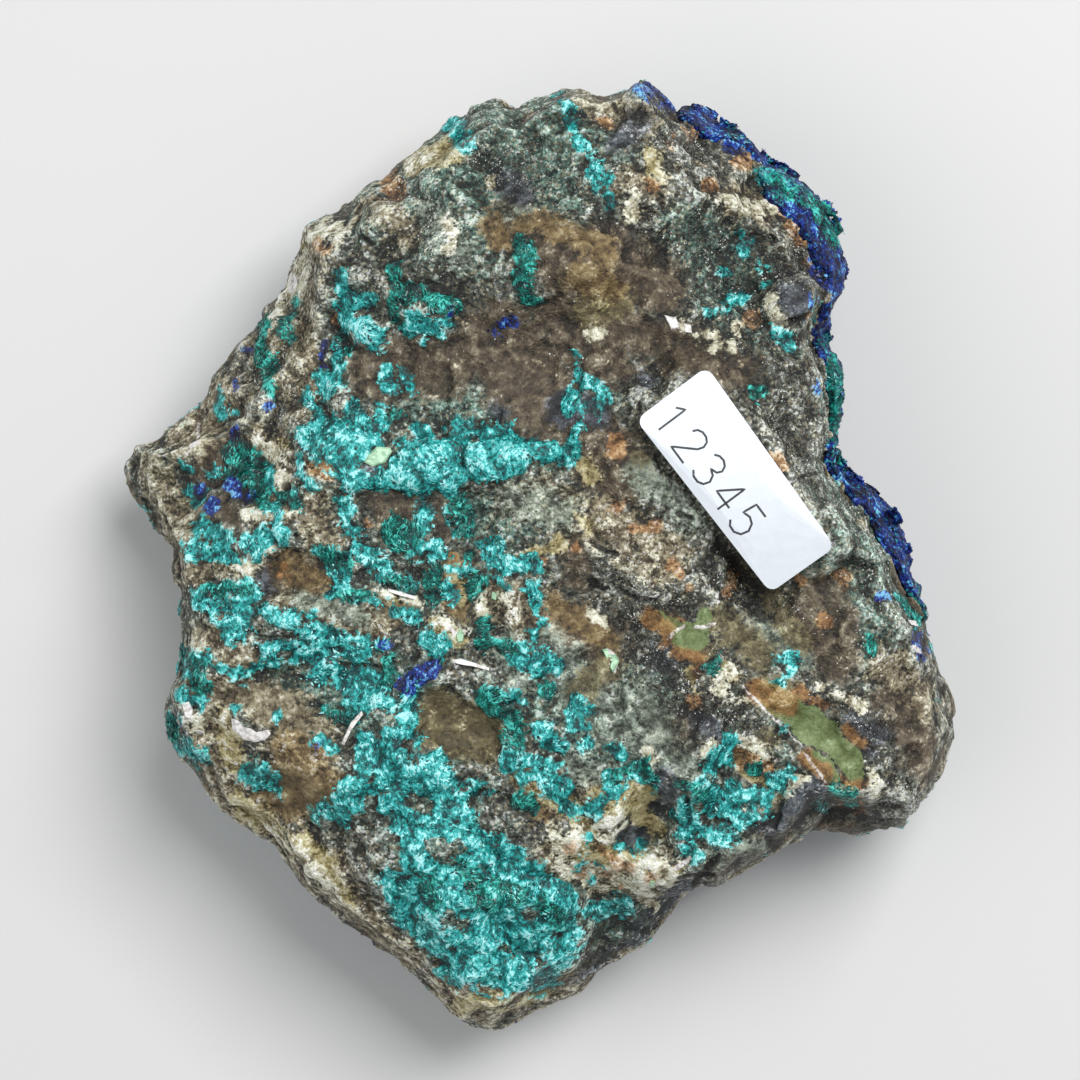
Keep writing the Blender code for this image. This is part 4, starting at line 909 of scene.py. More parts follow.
def rock_material():
    """Broken rock: grey crystalline grain, with other rocks, stains and minerals over it where painted.

    Painted shade darkens it in shadow, in its cracks and in its hollows, and a painted highlight lightens what
    stands proud.
    """
    made, w, surface = new_material("broken rock")
    grain = place_group(w, "crystalline grain", Grain_Size=0.36)
    broad = w.noise(w.object_place(), 520.0, 3.0, 0.6)
    crumb = w.math("SUBTRACT", grain["Tone"], 0.5)
    drift = w.math("SUBTRACT", broad, 0.5)
    relief = w.math("SUBTRACT", w.painted("relief"), 0.5)
    dull = w.math("MAXIMUM", w.painted("brown"), w.math("MAXIMUM", w.painted("smooth"), w.painted("olive")))
    # Painted shade: the tone is darkened where the shade strokes lie.
    tone = w.math("MULTIPLY_ADD", drift, 0.65, w.math("MULTIPLY_ADD", w.painted("shade"), -0.2, 0.45))
    tone = w.math("MULTIPLY_ADD", crumb, w.math("MULTIPLY_ADD", dull, -0.22, 0.5), tone)
    # Painted shade and highlight: darker in hollows, lighter where the surface stands proud.
    tone = w.math("MULTIPLY_ADD", relief, 0.55, tone)
    push = w.math("MULTIPLY_ADD", crumb, 0.3, w.math("MULTIPLY", drift, 1.0))

    def laid(finish, share=1.0, edge=0.08):
        return w.step(w.math("MULTIPLY_ADD", push, share, w.painted(finish)), 0.5 - edge, 0.5 + edge)

    colour = w.ramp(tone, *ROCK_COLOURS["grey"])
    dusted = w.ramp(tone, *ROCK_COLOURS["dust"])
    colour = w.mix(w.math("MULTIPLY", laid("dust", 1.0, 0.35), 0.7), colour, dusted)
    earthy = w.math("MULTIPLY", w.step(grain["Kind"], 0.65, 0.8), 0.55)
    colour = w.mix(earthy, colour, w.ramp(tone, *ROCK_COLOURS["tan"]))
    for finish, strength in STAINS.items():
        stained = w.ramp(tone, *ROCK_COLOURS[finish])
        colour = w.mix(w.math("MULTIPLY", laid(finish, 1.3, 0.22), strength), colour, stained)
    glints = w.math("MULTIPLY", grain["Glint"], w.math("SUBTRACT", 1.0, dull, clamp=True))
    glints = w.math("MULTIPLY", glints, w.step(tone, 0.4, 0.6))
    colour = w.mix(w.math("MULTIPLY", glints, 0.5), colour, GLINT_COLOUR)

    fibres = place_group(w, "silky strands", Strand_Width=0.26, Bend=0.45)
    bright = w.math("MULTIPLY_ADD", w.math("SUBTRACT", fibres["Tone"], 0.5), 0.5, w.painted("glow"))
    # Painted shade and highlight on the malachite: darker in hollows, lighter where it stands proud.
    bright = w.math("MULTIPLY_ADD", relief, 0.7, bright)
    bright = w.math("MULTIPLY_ADD", crumb, 0.5, bright)
    malachite, deep, azurite = laid("malachite", 1.1, 0.14), laid("deep", 0.8, 0.12), laid("azurite", 0.8)
    colour = w.mix(malachite, colour, w.ramp(bright, *MALACHITE_COLOURS))
    colour = w.mix(deep, colour, w.ramp(bright, *DEEP_COLOURS))
    colour = w.mix(azurite, colour, w.ramp(bright, *AZURITE_COLOURS))
    colour = w.mix(laid("green", 0.5), colour, w.ramp(tone, *ROCK_COLOURS["green"]))
    warm = w.math("MULTIPLY", laid("amber", 0.7, 0.3), 0.9)
    colour = w.mix(warm, colour, w.ramp(tone, *ROCK_COLOURS["amber"]))
    colour = w.mix(laid("white", 0.3), colour, w.ramp(tone, *WHITE_COLOURS))
    # Painted shade: the cracks and pits turn near black.
    colour = w.mix(w.math("MULTIPLY", laid("hollow", 0.5), 0.7), colour, PAINTED_HOLLOW_SHADE)
    w.set(surface, "Base Color", colour)

    crystals = w.math("MAXIMUM", w.math("MAXIMUM", malachite, deep), azurite)
    shine = w.math("ADD", w.math("MULTIPLY", glints, 0.4), w.math("MULTIPLY", crystals, 0.22))
    w.set(surface, "Roughness", w.math("SUBTRACT", 0.7, shine))
    level = w.math("MULTIPLY_ADD", w.painted("smooth"), -0.6, 1.0)
    rock_height = w.math("MULTIPLY", grain["Height"], level)
    covered = w.step(w.math("MAXIMUM", w.painted("malachite"), w.painted("deep")), 0.4, 0.6)
    height = w.node("ShaderNodeMix", _0=covered, _2=rock_height, _3=w.math("MULTIPLY", fibres["Height"], 1.5))
    add_bump(w, surface, height.outputs[0], 0.2 * MM)
    return made


def crystal_material(name, colours, roughness, coat):
    """A mineral's own crystals: their colour runs over the tones by crystal and along the grain."""
    made, w, surface = new_material(name)
    grain = place_group(w, "crystalline grain", Grain_Size=0.3)
    tone = w.math("MULTIPLY_ADD", w.math("SUBTRACT", grain["Tone"], 0.5), 0.35, w.painted("tone"))
    w.set(surface, "Base Color", w.ramp(tone, *colours))
    surface.inputs["Roughness"].default_value = roughness
    surface.inputs["Coat Weight"].default_value = coat
    add_bump(w, surface, grain["Height"], 0.03 * MM)
    return made


def crust_material():
    """The azurite crust between its crystals: blue, with malachite where it is painted."""
    made, w, surface = new_material("azurite crust")
    grain = place_group(w, "crystalline grain", Grain_Size=0.34)
    crumb = w.math("SUBTRACT", grain["Tone"], 0.5)
    tone = w.math("MULTIPLY_ADD", crumb, 0.6, w.painted("tone"))
    colour = w.ramp(tone, *AZURITE_COLOURS)
    for finish, shades in (("malachite", RIM_COLOURS), ("deep", DEEP_COLOURS)):
        mask = w.step(w.math("MULTIPLY_ADD", crumb, 0.9, w.painted(finish)), 0.36, 0.64)
        colour = w.mix(mask, colour, w.ramp(tone, *shades))
    w.set(surface, "Base Color", colour)
    w.set(surface, "Roughness", w.math("MULTIPLY_ADD", grain["Glint"], -0.3, 0.6))
    surface.inputs["Specular IOR Level"].default_value = 0.25
    add_bump(w, surface, grain["Height"], 0.1 * MM)
    return made


def grain_material():
    """Loose bright grains of quartz and calcite, with darker ones between them."""
    made, w, surface = new_material("quartz grains")
    grain = place_group(w, "crystalline grain", Grain_Size=0.25)
    tone = w.math("MULTIPLY_ADD", w.math("SUBTRACT", grain["Tone"], 0.5), 0.4, w.painted("tone"))
    w.set(surface, "Base Color", w.ramp(tone, *QUARTZ_COLOURS))
    surface.inputs["Roughness"].default_value = 0.4
    return made


def chip_material(name, dark, light):
    """A pale chip: mottled, and slightly glossy."""
    made, w, surface = new_material(name)
    grain = place_group(w, "crystalline grain", Grain_Size=0.5)
    w.set(surface, "Base Color", w.ramp(grain["Tone"], (0.1, dark), (0.7, light)))
    surface.inputs["Roughness"].default_value = 0.45
    add_bump(w, surface, grain["Height"], 0.06 * MM)
    return made


def paper_material():
    """Matt sticker paper: a faint mottle and fibres."""
    made, w, surface = new_material("label paper")
    place = w.object_place()
    mottle = w.noise(place, 900.0, 4.0, 0.6)
    fibre = w.noise(place, 9000.0, 3.0, 0.7)
    w.set(surface, "Base Color", w.ramp(mottle, (0.3, (230, 237, 244)), (0.7, (237, 243, 250))))
    surface.inputs["Roughness"].default_value = 0.55
    add_bump(w, surface, fibre, 0.012 * MM)
    return made


def ink_material():
    made, w, surface = new_material("label ink")
    wear = w.noise(w.object_place(), 6000.0, 3.0)
    w.set(surface, "Base Color", w.ramp(wear, (0.35, (52, 53, 56)), (0.75, (88, 90, 94))))
    surface.inputs["Roughness"].default_value = 0.5
    return made


def floor_material(colour):
    made, w, surface = new_material("pale floor")
    cloud = w.noise(w.object_place(), 9.0, 2.0)
    shade = [channel * 0.985 for channel in colour]
    w.set(surface, "Base Color", w.mix(w.step(cloud, 0.3, 0.7), (*shade, 1), (*colour, 1)))
    surface.inputs["Roughness"].default_value = 0.85
    return made


def paint(mesh, places, normals):
    """Stores each finish's mask, and the painted shade's, on the mesh.

    They come from strokes on the back, and from noise on the walls and below.
    """
    wander = np.stack([noise_over(places, 1.6 * MM, 2, shift) for shift in (3.1, 7.7)], axis=1)
    broad = np.stack([noise_over(places, 5 * MM, 2, shift) for shift in (1.3, 9.2)], axis=1)
    readings = readings_of(places) + WANDER_PX * wander + BROAD_SHARE * WANDER_PX * broad
    still = readings_of(places) + STILL_WANDER_PX * wander
    facing = normals[:, 2] + 0.3 * noise_over(places, 4 * MM, 2, 6.3)
    level = places[:, 2] + 1.5 * MM * noise_over(places, 4 * MM, 2, 8.4)
    up = smoothstep(*UP_FACING, facing) * smoothstep(*UP_HEIGHTS, level)
    masks = {}
    ragged = noise_over(places, 1.3 * MM, 3, 2.9)
    for name, (strokes, edge) in ATTRIBUTES.items():
        if name in ("white", "hollow"):
            masks[name] = closeness(still, strokes, edge) * up
        else:
            masks[name] = closeness(readings, strokes, edge)
            raggedness = RAGGED.get(name, EVEN_RAGGED) * ragged
            masks[name] = np.clip(masks[name] + raggedness, 0, 1) * (masks[name] > 0) * up
    for name in ("malachite", "deep"):
        masks[name] *= 1 - smoothstep(0.3, 0.7, masks["bare"])
    below = 1 - up
    veins = noise_over(places, 9 * MM, 4, 4.4) + 0.16 * ragged
    stains = noise_over(places, 13 * MM, 3, 8.1)
    under = smoothstep(0.2, -0.5, facing + 0.25 * ragged)
    for name, patches, share in (
        ("azurite", smoothstep(0.05, 0.3, veins), 0.1 + 0.85 * under),
        ("malachite", smoothstep(0.16, 0.38, -veins), 0.3 + 0.6 * under),
        ("brown", smoothstep(-0.1, 0.25, stains), 1),
        ("tan", smoothstep(0.05, 0.35, -stains), 0.9),
    ):
        masks[name] = np.maximum(masks[name], below * patches * share)
    for name, values in masks.items():
        add_attribute(mesh, name, values)
    return masks


def crust_lift(places, normals, mineral):
    """How far out from the stone the CAD model's crusts of a mineral reach at each place."""
    lift = np.zeros(len(places))
    for name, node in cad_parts.items():
        if not name.startswith(mineral):
            continue
        crust = surface_of(node.data)
        low, high = (np.array(corner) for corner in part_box(name))
        near = ((places > low - CRUST_REACH) & (places < high + CRUST_REACH)).all(1)
        for number in np.flatnonzero(near):
            out = Vector(normals[number])
            hit = crust.ray_cast(Vector(places[number]) + out * CRUST_REACH, -out, CRUST_REACH)
            if hit[0] is not None:
                lift[number] = CRUST_REACH - hit[3]
    return lift


def sculpt(piece, grain_height):
    """Breaks up the stone's surface: flat-faced chips, grain, raised malachite and cracks."""
    mesh = piece.data
    places, normals = mesh_arrays(mesh)
    masks = paint(mesh, places, normals)
    rough = 1 - SMOOTH_SHARE * masks["smooth"]
    push = np.zeros(len(places))
    for number, (size, steepness) in enumerate(FACET_SIZES):
        share = 1 if number == 0 else rough
        push += facets(places, size, steepness, FACET_SEED + number) * share * 0.5
    push = eased(mesh, FACETS_MOST * np.tanh(push / FACETS_MOST), 1)[:, 0]
    push += grain_height * noise_over(places, 0.75 * MM, 2, 2.2) * rough
    push += eased(mesh, crust_lift(places, normals, "malachite"), 5)[:, 0] * CRUST_SHARE
    push += np.minimum(crust_lift(places, normals, "azurite"), UNDER_AZURITE)
    crystals = np.maximum(np.maximum(masks["malachite"], masks["deep"]), masks["azurite"])
    tufts = noise_over(places, 1.1 * MM, 3, 6.6)
    push += smoothstep(0.35, 0.8, crystals) * MALACHITE_RISE * (0.6 + tufts)
    push += smoothstep(0.3, 0.8, masks["cream"]) * CREAM_RISE
    push -= smoothstep(0.4, 0.8, masks["hollow"]) * HOLLOW_DEPTH
    push *= smoothstep(*REST_HEIGHTS, places[:, 2]) * clear_of_label(places)
    moved = places + normals * push[:, None]
    moved[:, 2] = np.maximum(moved[:, 2], 0)
    set_places(mesh, moved)
    _, normals = mesh_arrays(mesh)
    glow = 0.46 + 0.4 * noise_over(places, 2.2 * MM, 3, 5.5) + 0.3 * noise_over(places, 0.6 * MM, 2, 8.8)
    add_attribute(mesh, "glow", glow)
    # How far each place stands proud of its neighbours, for painted shade in hollows and a painted highlight on
    # ridges.
    proud = ((moved - eased(mesh, moved, 6)) * normals).sum(1)
    add_attribute(mesh, "relief", np.clip(0.5 + proud / FULL_RELIEF, 0, 1))


def clear_of_label(places):
    """0 under the label's paper, where the rock may not rise, and 1 away from it."""
    away = places[:, :2] - LABEL_MIDDLE
    u = away @ LABEL_ALONG
    v = away @ LABEL_ACROSS
    beyond = np.maximum(np.abs(u) - LABEL_LENGTH / 2, np.abs(v) - LABEL_WIDTH / 2)
    return np.where(places[:, 2] > LABEL_ABOVE, smoothstep(0, LABEL_CLEARANCE, beyond), 1)


def spear():
    """A thin crystal blade along +Y: (places, triangles), a unit long."""
    places = [(0, 0, 0), (-0.5, 0.45, 0), (0.5, 0.45, 0), (0, 0.5, 0.35), (0, 0.5, -0.35), (0, 1, 0)]
    faces = [(0, 3, 1), (1, 3, 5), (5, 3, 2), (2, 3, 0), (0, 1, 4), (1, 5, 4), (5, 2, 4), (2, 0, 4)]
    return np.array(places, float), np.array(faces)


def tablet():
    """A tabular crystal with a wedge end along +Y: (places, triangles), a unit long."""
    places = [
        (-0.28, -0.1, -0.2), (0.28, -0.1, -0.2), (0.28, -0.1, 0.2), (-0.28, -0.1, 0.2),
        (-0.5, 0.7, -0.16), (0.5, 0.7, -0.16), (0.5, 0.7, 0.16), (-0.5, 0.7, 0.16),
        (-0.3, 1, 0), (0.34, 0.94, 0),
    ]
    bm = bmesh.new()
    for place in places:
        bm.verts.new(place)
    hull = bmesh.ops.convex_hull(bm, input=bm.verts)
    bmesh.ops.delete(bm, geom=hull["geom_interior"], context="VERTS")
    bmesh.ops.recalc_face_normals(bm, faces=bm.faces)
    bmesh.ops.triangulate(bm, faces=bm.faces)
    bm.verts.index_update()
    made = np.array([v.co for v in bm.verts]), np.array([[v.index for v in f.verts] for f in bm.faces])
    bm.free()
    return made


def grit():
    """A small uneven grain: (places, triangles), about a unit across."""
    places = [
        (-0.5, 0.05, 0), (0.45, 0, 0.08), (0, -0.42, 0.05), (0.06, 0.5, -0.04), (0, 0.04, 0.5), (0, 0, -0.4),
    ]
    faces = [(0, 2, 4), (2, 1, 4), (1, 3, 4), (3, 0, 4), (2, 0, 5), (1, 2, 5), (3, 1, 5), (0, 3, 5)]
    return np.array(places, float), np.array(faces)


def scatter(name, host, weights, shape, count, length, width, depth, lie, sink, seed, spread=3.0):
    """Many copies of a small crystal joined in one mesh, on the host where the weights are high.

    Each has a length between two, and a width and depth that are shares of it. Its root is sunk, it rises from
    the surface by an angle between two, and its heading strays from the strands' flow by the spread.
    """
    rng = np.random.default_rng(seed)
    places, normals = mesh_arrays(host.data)
    corners = face_corners(host.data)
    sides = places[corners[:, 1:]] - places[corners[:, :1]]
    share = weights[corners].mean(1) * np.linalg.norm(np.cross(sides[:, 0], sides[:, 1]), axis=1)
    chosen = corners[rng.choice(len(corners), count, p=share / share.sum())]
    within = rng.dirichlet((1, 1, 1), count)[:, :, None]
    at = (places[chosen] * within).sum(1)
    out = (normals[chosen] * within).sum(1)
    out /= np.linalg.norm(out, axis=1, keepdims=True)
    turn = math.pi * 1.6 * noise_over(at, FLOW_SIZE, 2, 0.5) + rng.normal(scale=spread, size=count)
    heading = np.stack([np.cos(turn), np.sin(turn), 0 * turn], axis=1)
    side = np.cross(out, heading)
    side /= np.linalg.norm(side, axis=1, keepdims=True)
    flow = np.cross(side, out)
    raised = rng.uniform(*lie, count)[:, None]
    along = flow * np.cos(raised) + out * np.sin(raised)
    upward = np.cross(side, along)
    lengths = rng.uniform(*length, count)
    template, triangles = shape
    spots = at - out * sink
    local = template[None] * lengths[:, None, None] * np.array([width, 1, depth])
    verts = (
        spots[:, None]
        + local[..., 0:1] * side[:, None]
        + local[..., 1:2] * along[:, None]
        + local[..., 2:3] * upward[:, None]
    )
    kept = inside_box(verts.reshape(-1, 3)).reshape(count, -1).all(1)
    verts = verts[kept]
    own = rng.uniform(0.2, 0.72, count) + 0.6 * noise_over(at, 1.5 * MM, 3, 6.1)
    tones = np.repeat(own[kept], len(template))
    steps = (np.arange(len(verts)) * len(template))[:, None, None]
    mesh = bpy.data.meshes.new(name)
    mesh.from_pydata(verts.reshape(-1, 3), [], (triangles[None] + steps).reshape(-1, 3))
    add_attribute(mesh, "tone", tones)
    return add_object(name, mesh)


def flakes(name, outlines):
    """Flat chips with bevelled edges, each bedded in the stone's surface where its outline lies."""
    surface = surface_of(bpy.data.objects["broken_stone"].data)
    bm = bmesh.new()
    for outline in outlines:
        flat = place_of(outline, BACK_HEIGHT)
        flat = place_of(outline, np.mean([height_below(surface, *spot) for spot in flat]))
        heights = np.array([height_below(surface, *spot) for spot in flat])
        lying = np.linalg.lstsq(np.column_stack([flat, np.ones(len(flat))]), heights, rcond=None)[0]
        level = flat @ lying[:2] + lying[2]
        inner = flat.mean(0) + (flat - flat.mean(0)) * FLAKE_BEVEL
        top = inner @ lying[:2] + lying[2] + FLAKE_PROUD
        rings = [
            [bm.verts.new((*spot, z)) for spot, z in zip(*ring)]
            for ring in ((inner, top), (flat, level + FLAKE_PROUD / 3), (flat, level - FLAKE_DEEP))
        ]
        bm.faces.new(rings[0])
        bm.faces.new(rings[-1][::-1])
        for upper, lower in zip(rings, rings[1:]):
            for at in range(len(flat)):
                bm.faces.new((upper[at], upper[at - 1], lower[at - 1], lower[at]))
    bmesh.ops.triangulate(bm, faces=bm.faces)
    bmesh.ops.recalc_face_normals(bm, faces=bm.faces)
    return add_built(name, bm)


def inside_box(spots):
    """Whether points lie inside the CAD model's box and above what it stands on."""
    low, high = CAD_BOX
    return ((spots > np.array(low)) & (spots < np.array(high))).all(1)


def pen_stroke(points, pen_width, paper):
    """(places, faces) of one pen stroke laid on the paper, as a thin closed ribbon."""
    line = [points[0]]
    for start, end in zip(points, points[1:]):
        parts = max(1, round(math.dist(start, end) / INK_STEP))
        line += [np.add(start, np.subtract(end, start) * part / parts) for part in range(1, parts + 1)]
    line = np.array(line)
    runs = np.diff(line, axis=0)
    runs /= np.linalg.norm(runs, axis=1, keepdims=True)
    ahead = np.vstack([runs, runs[-1:]]) + np.vstack([runs[:1], runs])
    ahead /= np.linalg.norm(ahead, axis=1, keepdims=True)
    aside = np.stack([-ahead[:, 1], ahead[:, 0]], axis=1) * pen_width / 2
    places = []
    for lift in (INK_PROUD, -INK_PROUD):
        for sign in (1, -1):
            for u, v in line + sign * aside:
                x, y = LABEL_MIDDLE + u * LABEL_ALONG + v * LABEL_ACROSS
                height = height_below(paper, x, y)
                if height is None:
                    raise RuntimeError("a pen stroke runs off the label")
                places.append((x, y, height + lift))
    count = len(line)
    faces = [(0, count, 3 * count, 2 * count), (count - 1, 3 * count - 1, 4 * count - 1, 2 * count - 1)]
    for at in range(count - 1):
        left, right, under_left, under_right = (at + side * count for side in range(4))
        faces += [
            (left, right, right + 1, left + 1), (under_left, under_left + 1, under_right + 1, under_right),
            (left, left + 1, under_left + 1, under_left), (right, under_right, under_right + 1, right + 1),
        ]
    return places, faces


def label_figures(pen_width, figure_height):
    """The row of figures as one mesh piece on the label."""
    paper = surface_of(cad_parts["label"].data)
    bm = bmesh.new()
    for number, figure in enumerate(FIGURE_ROW):
        corner = np.array(FIGURE_START) + (number * FIGURE_PITCH, 0)
        points = [corner + np.multiply(point, figure_height) for point in FIGURES[figure]]
        places, faces = pen_stroke(points, pen_width, paper)
        verts = [bm.verts.new(place) for place in places]
        for face in faces:
            bm.faces.new([verts[corner] for corner in face])
    bmesh.ops.recalc_face_normals(bm, faces=bm.faces)
    return add_built("label_figures", bm)


def finish_piece(piece, material, slot, *nodes):
    """Gives a finished piece its material, sets it on the root body and hides the CAD nodes that it stands in
    for.

    The slot is not used.
    """
    piece.data.materials.clear()
    piece.data.materials.append(material)
    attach(piece, "root")
    if nodes:
        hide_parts(*nodes)


class StoneLooks(bpy.types.PropertyGroup):
    grain_height: bpy.props.FloatProperty(
        name="Grain height", description="How far the broken rock's grain stands out", default=0.11 * MM,
        subtype="DISTANCE",
    )
    grain_count: bpy.props.IntProperty(
        name="Quartz grains", description="How many grains lie on the grey rock", default=22000, min=0,
    )


class CrystalLooks(bpy.types.PropertyGroup):
    azurite_count: bpy.props.IntProperty(
        name="Azurite crystals", description="How many azurite tablets stand on the crust", default=7000,
        min=0,
    )
    malachite_count: bpy.props.IntProperty(
        name="Malachite blades", description="How many silky blades lie on the malachite", default=24000,
        min=0,
    )
    blade_length: bpy.props.FloatProperty(
        name="Blade length", description="Length of the longest malachite blade", default=0.7 * MM,
        subtype="DISTANCE",
    )


class LabelLooks(bpy.types.PropertyGroup):
    pen_width: bpy.props.FloatProperty(
        name="Pen width", description="Width of the pen strokes on the label", default=0.2 * MM,
        subtype="DISTANCE",
    )
    figure_height: bpy.props.FloatProperty(
        name="Figure height", description="Height of the figures on the label", default=3.05 * MM,
        subtype="DISTANCE",
    )


class StageLooks(bpy.types.PropertyGroup):
    floor_colour: bpy.props.FloatVectorProperty(
        name="Floor colour", description="Colour of the floor", default=(0.66, 0.66, 0.65), subtype="COLOR"
    )
    key_power: bpy.props.FloatProperty(
        name="Key light", description="Power of the large soft light", default=4.1, unit="POWER"
    )
    fill_power: bpy.props.FloatProperty(
        name="Fill light", description="Power of the light across from it", default=1.3, unit="POWER"
    )


class SPECIMEN_OT_effects(bpy.types.Operator):
    """Builds the shader groups that the materials share"""

    bl_idname = "specimen.effects"
    bl_label = "Shared effects"

    def execute(self, context):
        grain_group()
        fibre_group()
        return {"FINISHED"}


class SPECIMEN_OT_stone(bpy.types.Operator):
    """Builds the broken rock, with the malachite crusts that have grown on its back"""

    bl_idname = "specimen.stone"
    bl_label = "Stone"

    def execute(self, context):
        crusts = [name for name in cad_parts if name.startswith("malachite")]
        stone = finely_cut_copy("stone", "broken_stone", STONE_CUTS)
        sculpt(stone, context.scene.stone_looks.grain_height)
        finish_piece(stone, rock_material(), "stone", "stone", *crusts)
        return {"FINISHED"}


class SPECIMEN_OT_azurite(bpy.types.Operator):
    """Builds the azurite crust, and stands its crystals on it and on the rock near it"""

    bl_idname = "specimen.azurite"
    bl_label = "Azurite"

    def execute(self, context):
        looks = context.scene.crystal_looks
        crust = finely_cut_copy("azurite_crust", "azurite_druse", CRUST_CUTS)
        places, _ = mesh_arrays(crust.data)
        set_places(crust.data, held_to_outline(places))
        places, normals = mesh_arrays(crust.data)
        masks = paint(crust.data, places, normals)
        push = facets(places, *CRUST_FACETS) + CRUST_GRAIN * noise_over(places, 0.8 * MM)
        set_places(crust.data, places + normals * push[:, None])
        add_attribute(crust.data, "tone", 0.46 + 0.55 * noise_over(places, 1.4 * MM))
        finish_piece(crust, crust_material(), "azurite", "azurite_crust")
        green = np.maximum(masks["malachite"], masks["deep"])
        outside = (normals[:, :2] * places[:, :2]).sum(1) > -0.2 * np.linalg.norm(places[:, :2], axis=1)
        blue = crystal_material("azurite", AZURITE_COLOURS, roughness=0.3, coat=0.08)
        tablets = scatter(
            "azurite_tablets", crust, (1 - 0.85 * smoothstep(0.3, 0.7, green)) * outside, tablet(),
            looks.azurite_count, length=(0.2 * MM, 0.48 * MM), width=0.85, depth=0.4, lie=(-0.2, 0.25),
            sink=0.1 * MM, seed=91,
        )
        finish_piece(tablets, blue, "azurite")
        teal = scatter(
            "malachite_fringe", crust, smoothstep(0.3, 0.7, green) * outside, spear(),
            looks.azurite_count // 2, length=(0.25 * MM, 0.5 * MM), width=0.34, depth=0.25, lie=(-0.1, 0.25),
            sink=0.05 * MM, seed=93, spread=0.6,
        )
        finish_piece(teal, crystal_material("chrysocolla", RIM_COLOURS, roughness=0.3, coat=0.2), "malachite")
        stone = bpy.data.objects["broken_stone"]
        spots = smoothstep(0.45, 0.8, attribute(stone.data, "azurite"))
        specks = scatter(
            "azurite_specks", stone, spots, tablet(), looks.azurite_count // 2,
            length=(0.18 * MM, 0.45 * MM), width=0.8, depth=0.6, lie=(0.0, 0.8), sink=0.08 * MM, seed=92,
        )
        finish_piece(specks, blue, "azurite")
        return {"FINISHED"}


class SPECIMEN_OT_malachite(bpy.types.Operator):
    """Lays silky malachite blades on the green crusts"""

    bl_idname = "specimen.malachite"
    bl_label = "Malachite"

    def execute(self, context):
        looks = context.scene.crystal_looks
        stone = bpy.data.objects["broken_stone"]
        bright = smoothstep(0.45, 0.75, attribute(stone.data, "malachite"))
        clear = clear_of_label(mesh_arrays(stone.data)[0])
        blades = scatter(
            "malachite_blades", stone, bright * clear, spear(), looks.malachite_count,
            length=(0.25 * MM, looks.blade_length), width=0.34, depth=0.22, lie=(-0.05, 0.28), sink=0.04 * MM,
            seed=95, spread=0.55,
        )
        silky = crystal_material("malachite", MALACHITE_COLOURS, roughness=0.42, coat=0.1)
        finish_piece(blades, silky, "malachite")
        deep = smoothstep(0.45, 0.75, attribute(stone.data, "deep")) * clear
        needles = scatter(
            "malachite_needles", stone, deep, spear(), looks.malachite_count // 5,
            length=(0.35 * MM, 0.9 * MM), width=0.25, depth=0.2, lie=(0.0, 0.4), sink=0.05 * MM, seed=96,
            spread=0.35,
        )
        glassy = crystal_material("deep malachite", DEEP_COLOURS, roughness=0.3, coat=0.2)
        finish_piece(needles, glassy, "malachite")
        return {"FINISHED"}


class SPECIMEN_OT_grains(bpy.types.Operator):
    """Strews bright quartz grains over the grey rock"""

    bl_idname = "specimen.grains"
    bl_label = "Quartz grains"

    def execute(self, context):
        looks = context.scene.stone_looks
        stone = bpy.data.objects["broken_stone"]
        places, _ = mesh_arrays(stone.data)
        covered = sum(attribute(stone.data, name) for name in KEPT_CLEAR)
        patchy = smoothstep(0, 0.4, noise_over(places, 5 * MM))
        dense = 0.03 + 1.3 * attribute(stone.data, "sparkle") + 0.2 * patchy
        bare = np.clip(1 - covered, 0, 1) * clear_of_label(places) * dense
        bare *= 1 - 0.8 * attribute(stone.data, "brown")
        grains = scatter(
            "quartz_grains", stone, bare, grit(), looks.grain_count, length=(0.1 * MM, 0.3 * MM), width=1.0,
            depth=1.0, lie=(-1.5, 1.5), sink=0.02 * MM, seed=97,
        )
        finish_piece(grains, grain_material(), "stone")
        return {"FINISHED"}


class SPECIMEN_OT_chips(bpy.types.Operator):
    """Beds white calcite flakes and mint green chips in the stone's back"""

    bl_idname = "specimen.chips"
    bl_label = "Flakes and chips"

    def execute(self, context):
        calcite = chip_material("white calcite", (198, 192, 188), (244, 242, 240))
        finish_piece(flakes("calcite_flakes", CALCITE_FLAKES), calcite, "stone")
        mint = chip_material("mint chrysocolla", (132, 176, 140), (178, 216, 182))
        finish_piece(flakes("mint_chips", MINT_CHIPS), mint, "malachite")
        return {"FINISHED"}


class SPECIMEN_OT_label(bpy.types.Operator):
    """Gives the label its paper, and draws plain figures on it in thin pen strokes"""

    bl_idname = "specimen.label"
    bl_label = "Label"

    def execute(self, context):
        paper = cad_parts["label"]
        paper.data.materials.clear()
        paper.data.materials.append(paper_material())
        looks = context.scene.label_looks
        finish_piece(label_figures(looks.pen_width, looks.figure_height), ink_material(), "paper")
        return {"FINISHED"}


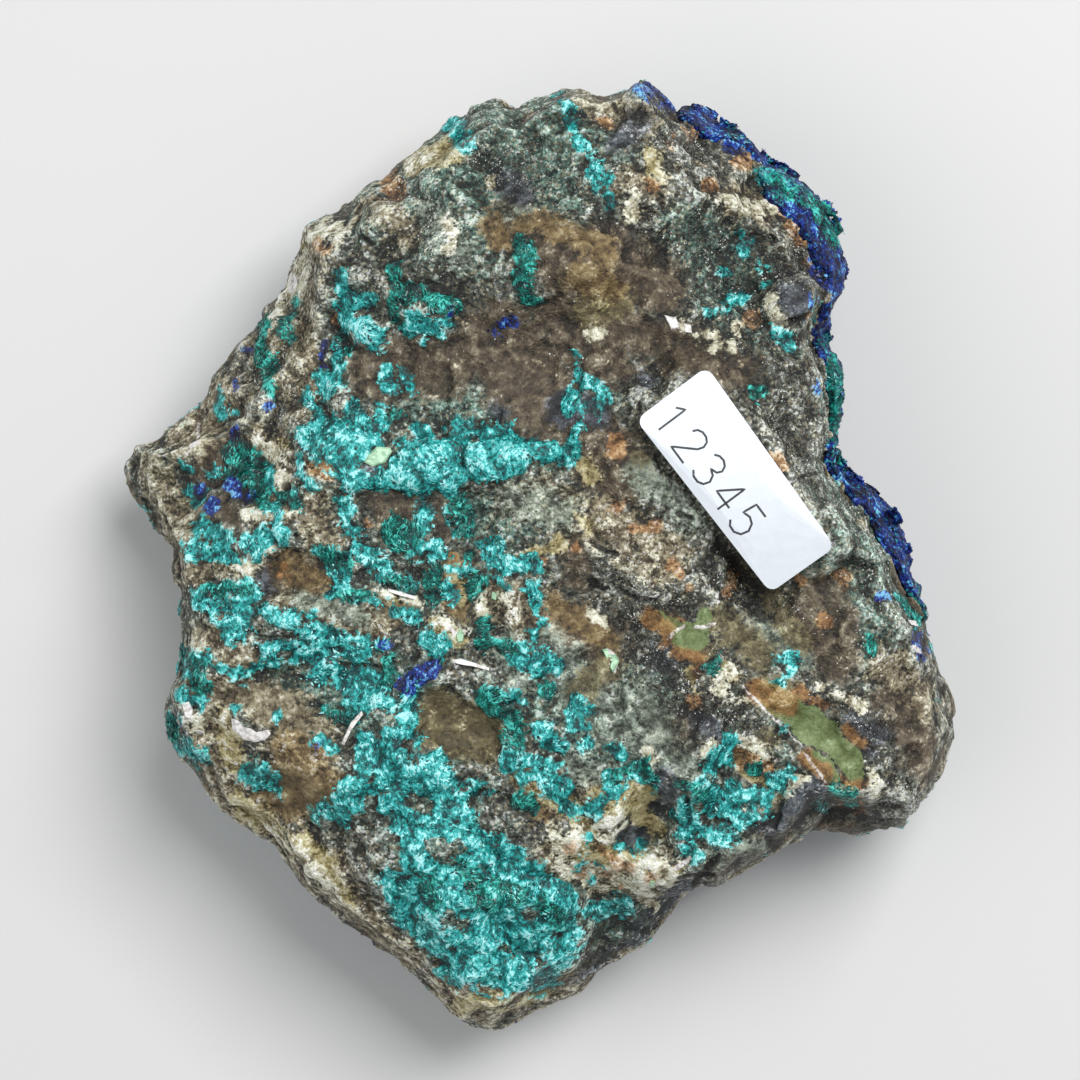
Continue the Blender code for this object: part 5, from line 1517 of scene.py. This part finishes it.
class SPECIMEN_OT_stage(bpy.types.Operator):
    """Lays the floor, and sets the lights and the camera straight above the stone"""

    bl_idname = "specimen.stage"
    bl_label = "Stage"

    def execute(self, context):
        looks = context.scene.stage_looks
        deselect_all()
        bpy.ops.mesh.primitive_plane_add(size=FLOOR_SIZE)
        floor = context.object
        floor.name = "floor"
        floor.data.materials.append(floor_material(looks.floor_colour))
        add_light("key", place=(0.22, 0.26, 0.55), size=0.35, power=looks.key_power)
        add_light("fill", place=(-0.45, -0.1, 0.5), size=0.6, power=looks.fill_power)
        world = bpy.data.worlds.new("soft room")
        world.use_nodes = True
        room = world.node_tree.nodes["Background"]
        room.inputs["Color"].default_value = ROOM_COLOUR
        room.inputs["Strength"].default_value = ROOM_STRENGTH
        context.scene.world = world
        lens = bpy.data.cameras.new("camera")
        lens.sensor_width = SENSOR
        lens.lens = SENSOR * VIEW_HEIGHT / (FRAME_PX * PX)
        lens.clip_start = 0.01
        camera = add_object("camera", lens)
        aim = place_of((FRAME_PX / 2, FRAME_PX / 2), RIM_HEIGHT)
        camera.location = (*aim, RIM_HEIGHT + VIEW_HEIGHT)
        context.scene.camera = camera
        context.scene.view_settings.view_transform = "Standard"
        return {"FINISHED"}


def add_light(name, place, size, power):
    lamp = bpy.data.lights.new(name, "AREA")
    lamp.energy = power
    lamp.size = size
    light = add_object(name, lamp)
    light.location = place
    light.rotation_euler = (-Vector(place)).to_track_quat("-Z", "Y").to_euler()


# In the order in which they build the specimen.
OPERATORS = (
    SPECIMEN_OT_effects, SPECIMEN_OT_stone, SPECIMEN_OT_azurite, SPECIMEN_OT_malachite, SPECIMEN_OT_grains,
    SPECIMEN_OT_chips, SPECIMEN_OT_label, SPECIMEN_OT_stage,
)


class SPECIMEN_PT_panel(bpy.types.Panel):
    bl_idname = "SPECIMEN_PT_panel"
    bl_label = "Azurite specimen"
    bl_space_type = "VIEW_3D"
    bl_region_type = "UI"
    bl_category = "Specimen"

    def draw(self, context):
        scene = context.scene
        for looks in (getattr(scene, name) for name in SETTINGS):
            for name in looks.__annotations__:
                self.layout.prop(looks, name)
        for operator in OPERATORS:
            self.layout.operator(operator.bl_idname)


# Where the scene keeps each group of settings.
SETTINGS = {
    "stone_looks": StoneLooks,
    "crystal_looks": CrystalLooks,
    "label_looks": LabelLooks,
    "stage_looks": StageLooks,
}
CLASSES = (*SETTINGS.values(), *OPERATORS, SPECIMEN_PT_panel)


def register():
    for made in CLASSES:
        bpy.utils.register_class(made)
    for name, group in SETTINGS.items():
        setattr(bpy.types.Scene, name, bpy.props.PointerProperty(type=group))


def unregister():
    for name in SETTINGS:
        delattr(bpy.types.Scene, name)
    for made in reversed(CLASSES):
        bpy.utils.unregister_class(made)


def main():
    register()
    bpy.ops.specimen.effects()
    bpy.ops.specimen.stone()
    bpy.ops.specimen.azurite()
    bpy.ops.specimen.malachite()
    bpy.ops.specimen.grains()
    bpy.ops.specimen.chips()
    bpy.ops.specimen.label()
    bpy.ops.specimen.stage()


if __name__ == "__main__":
    main()
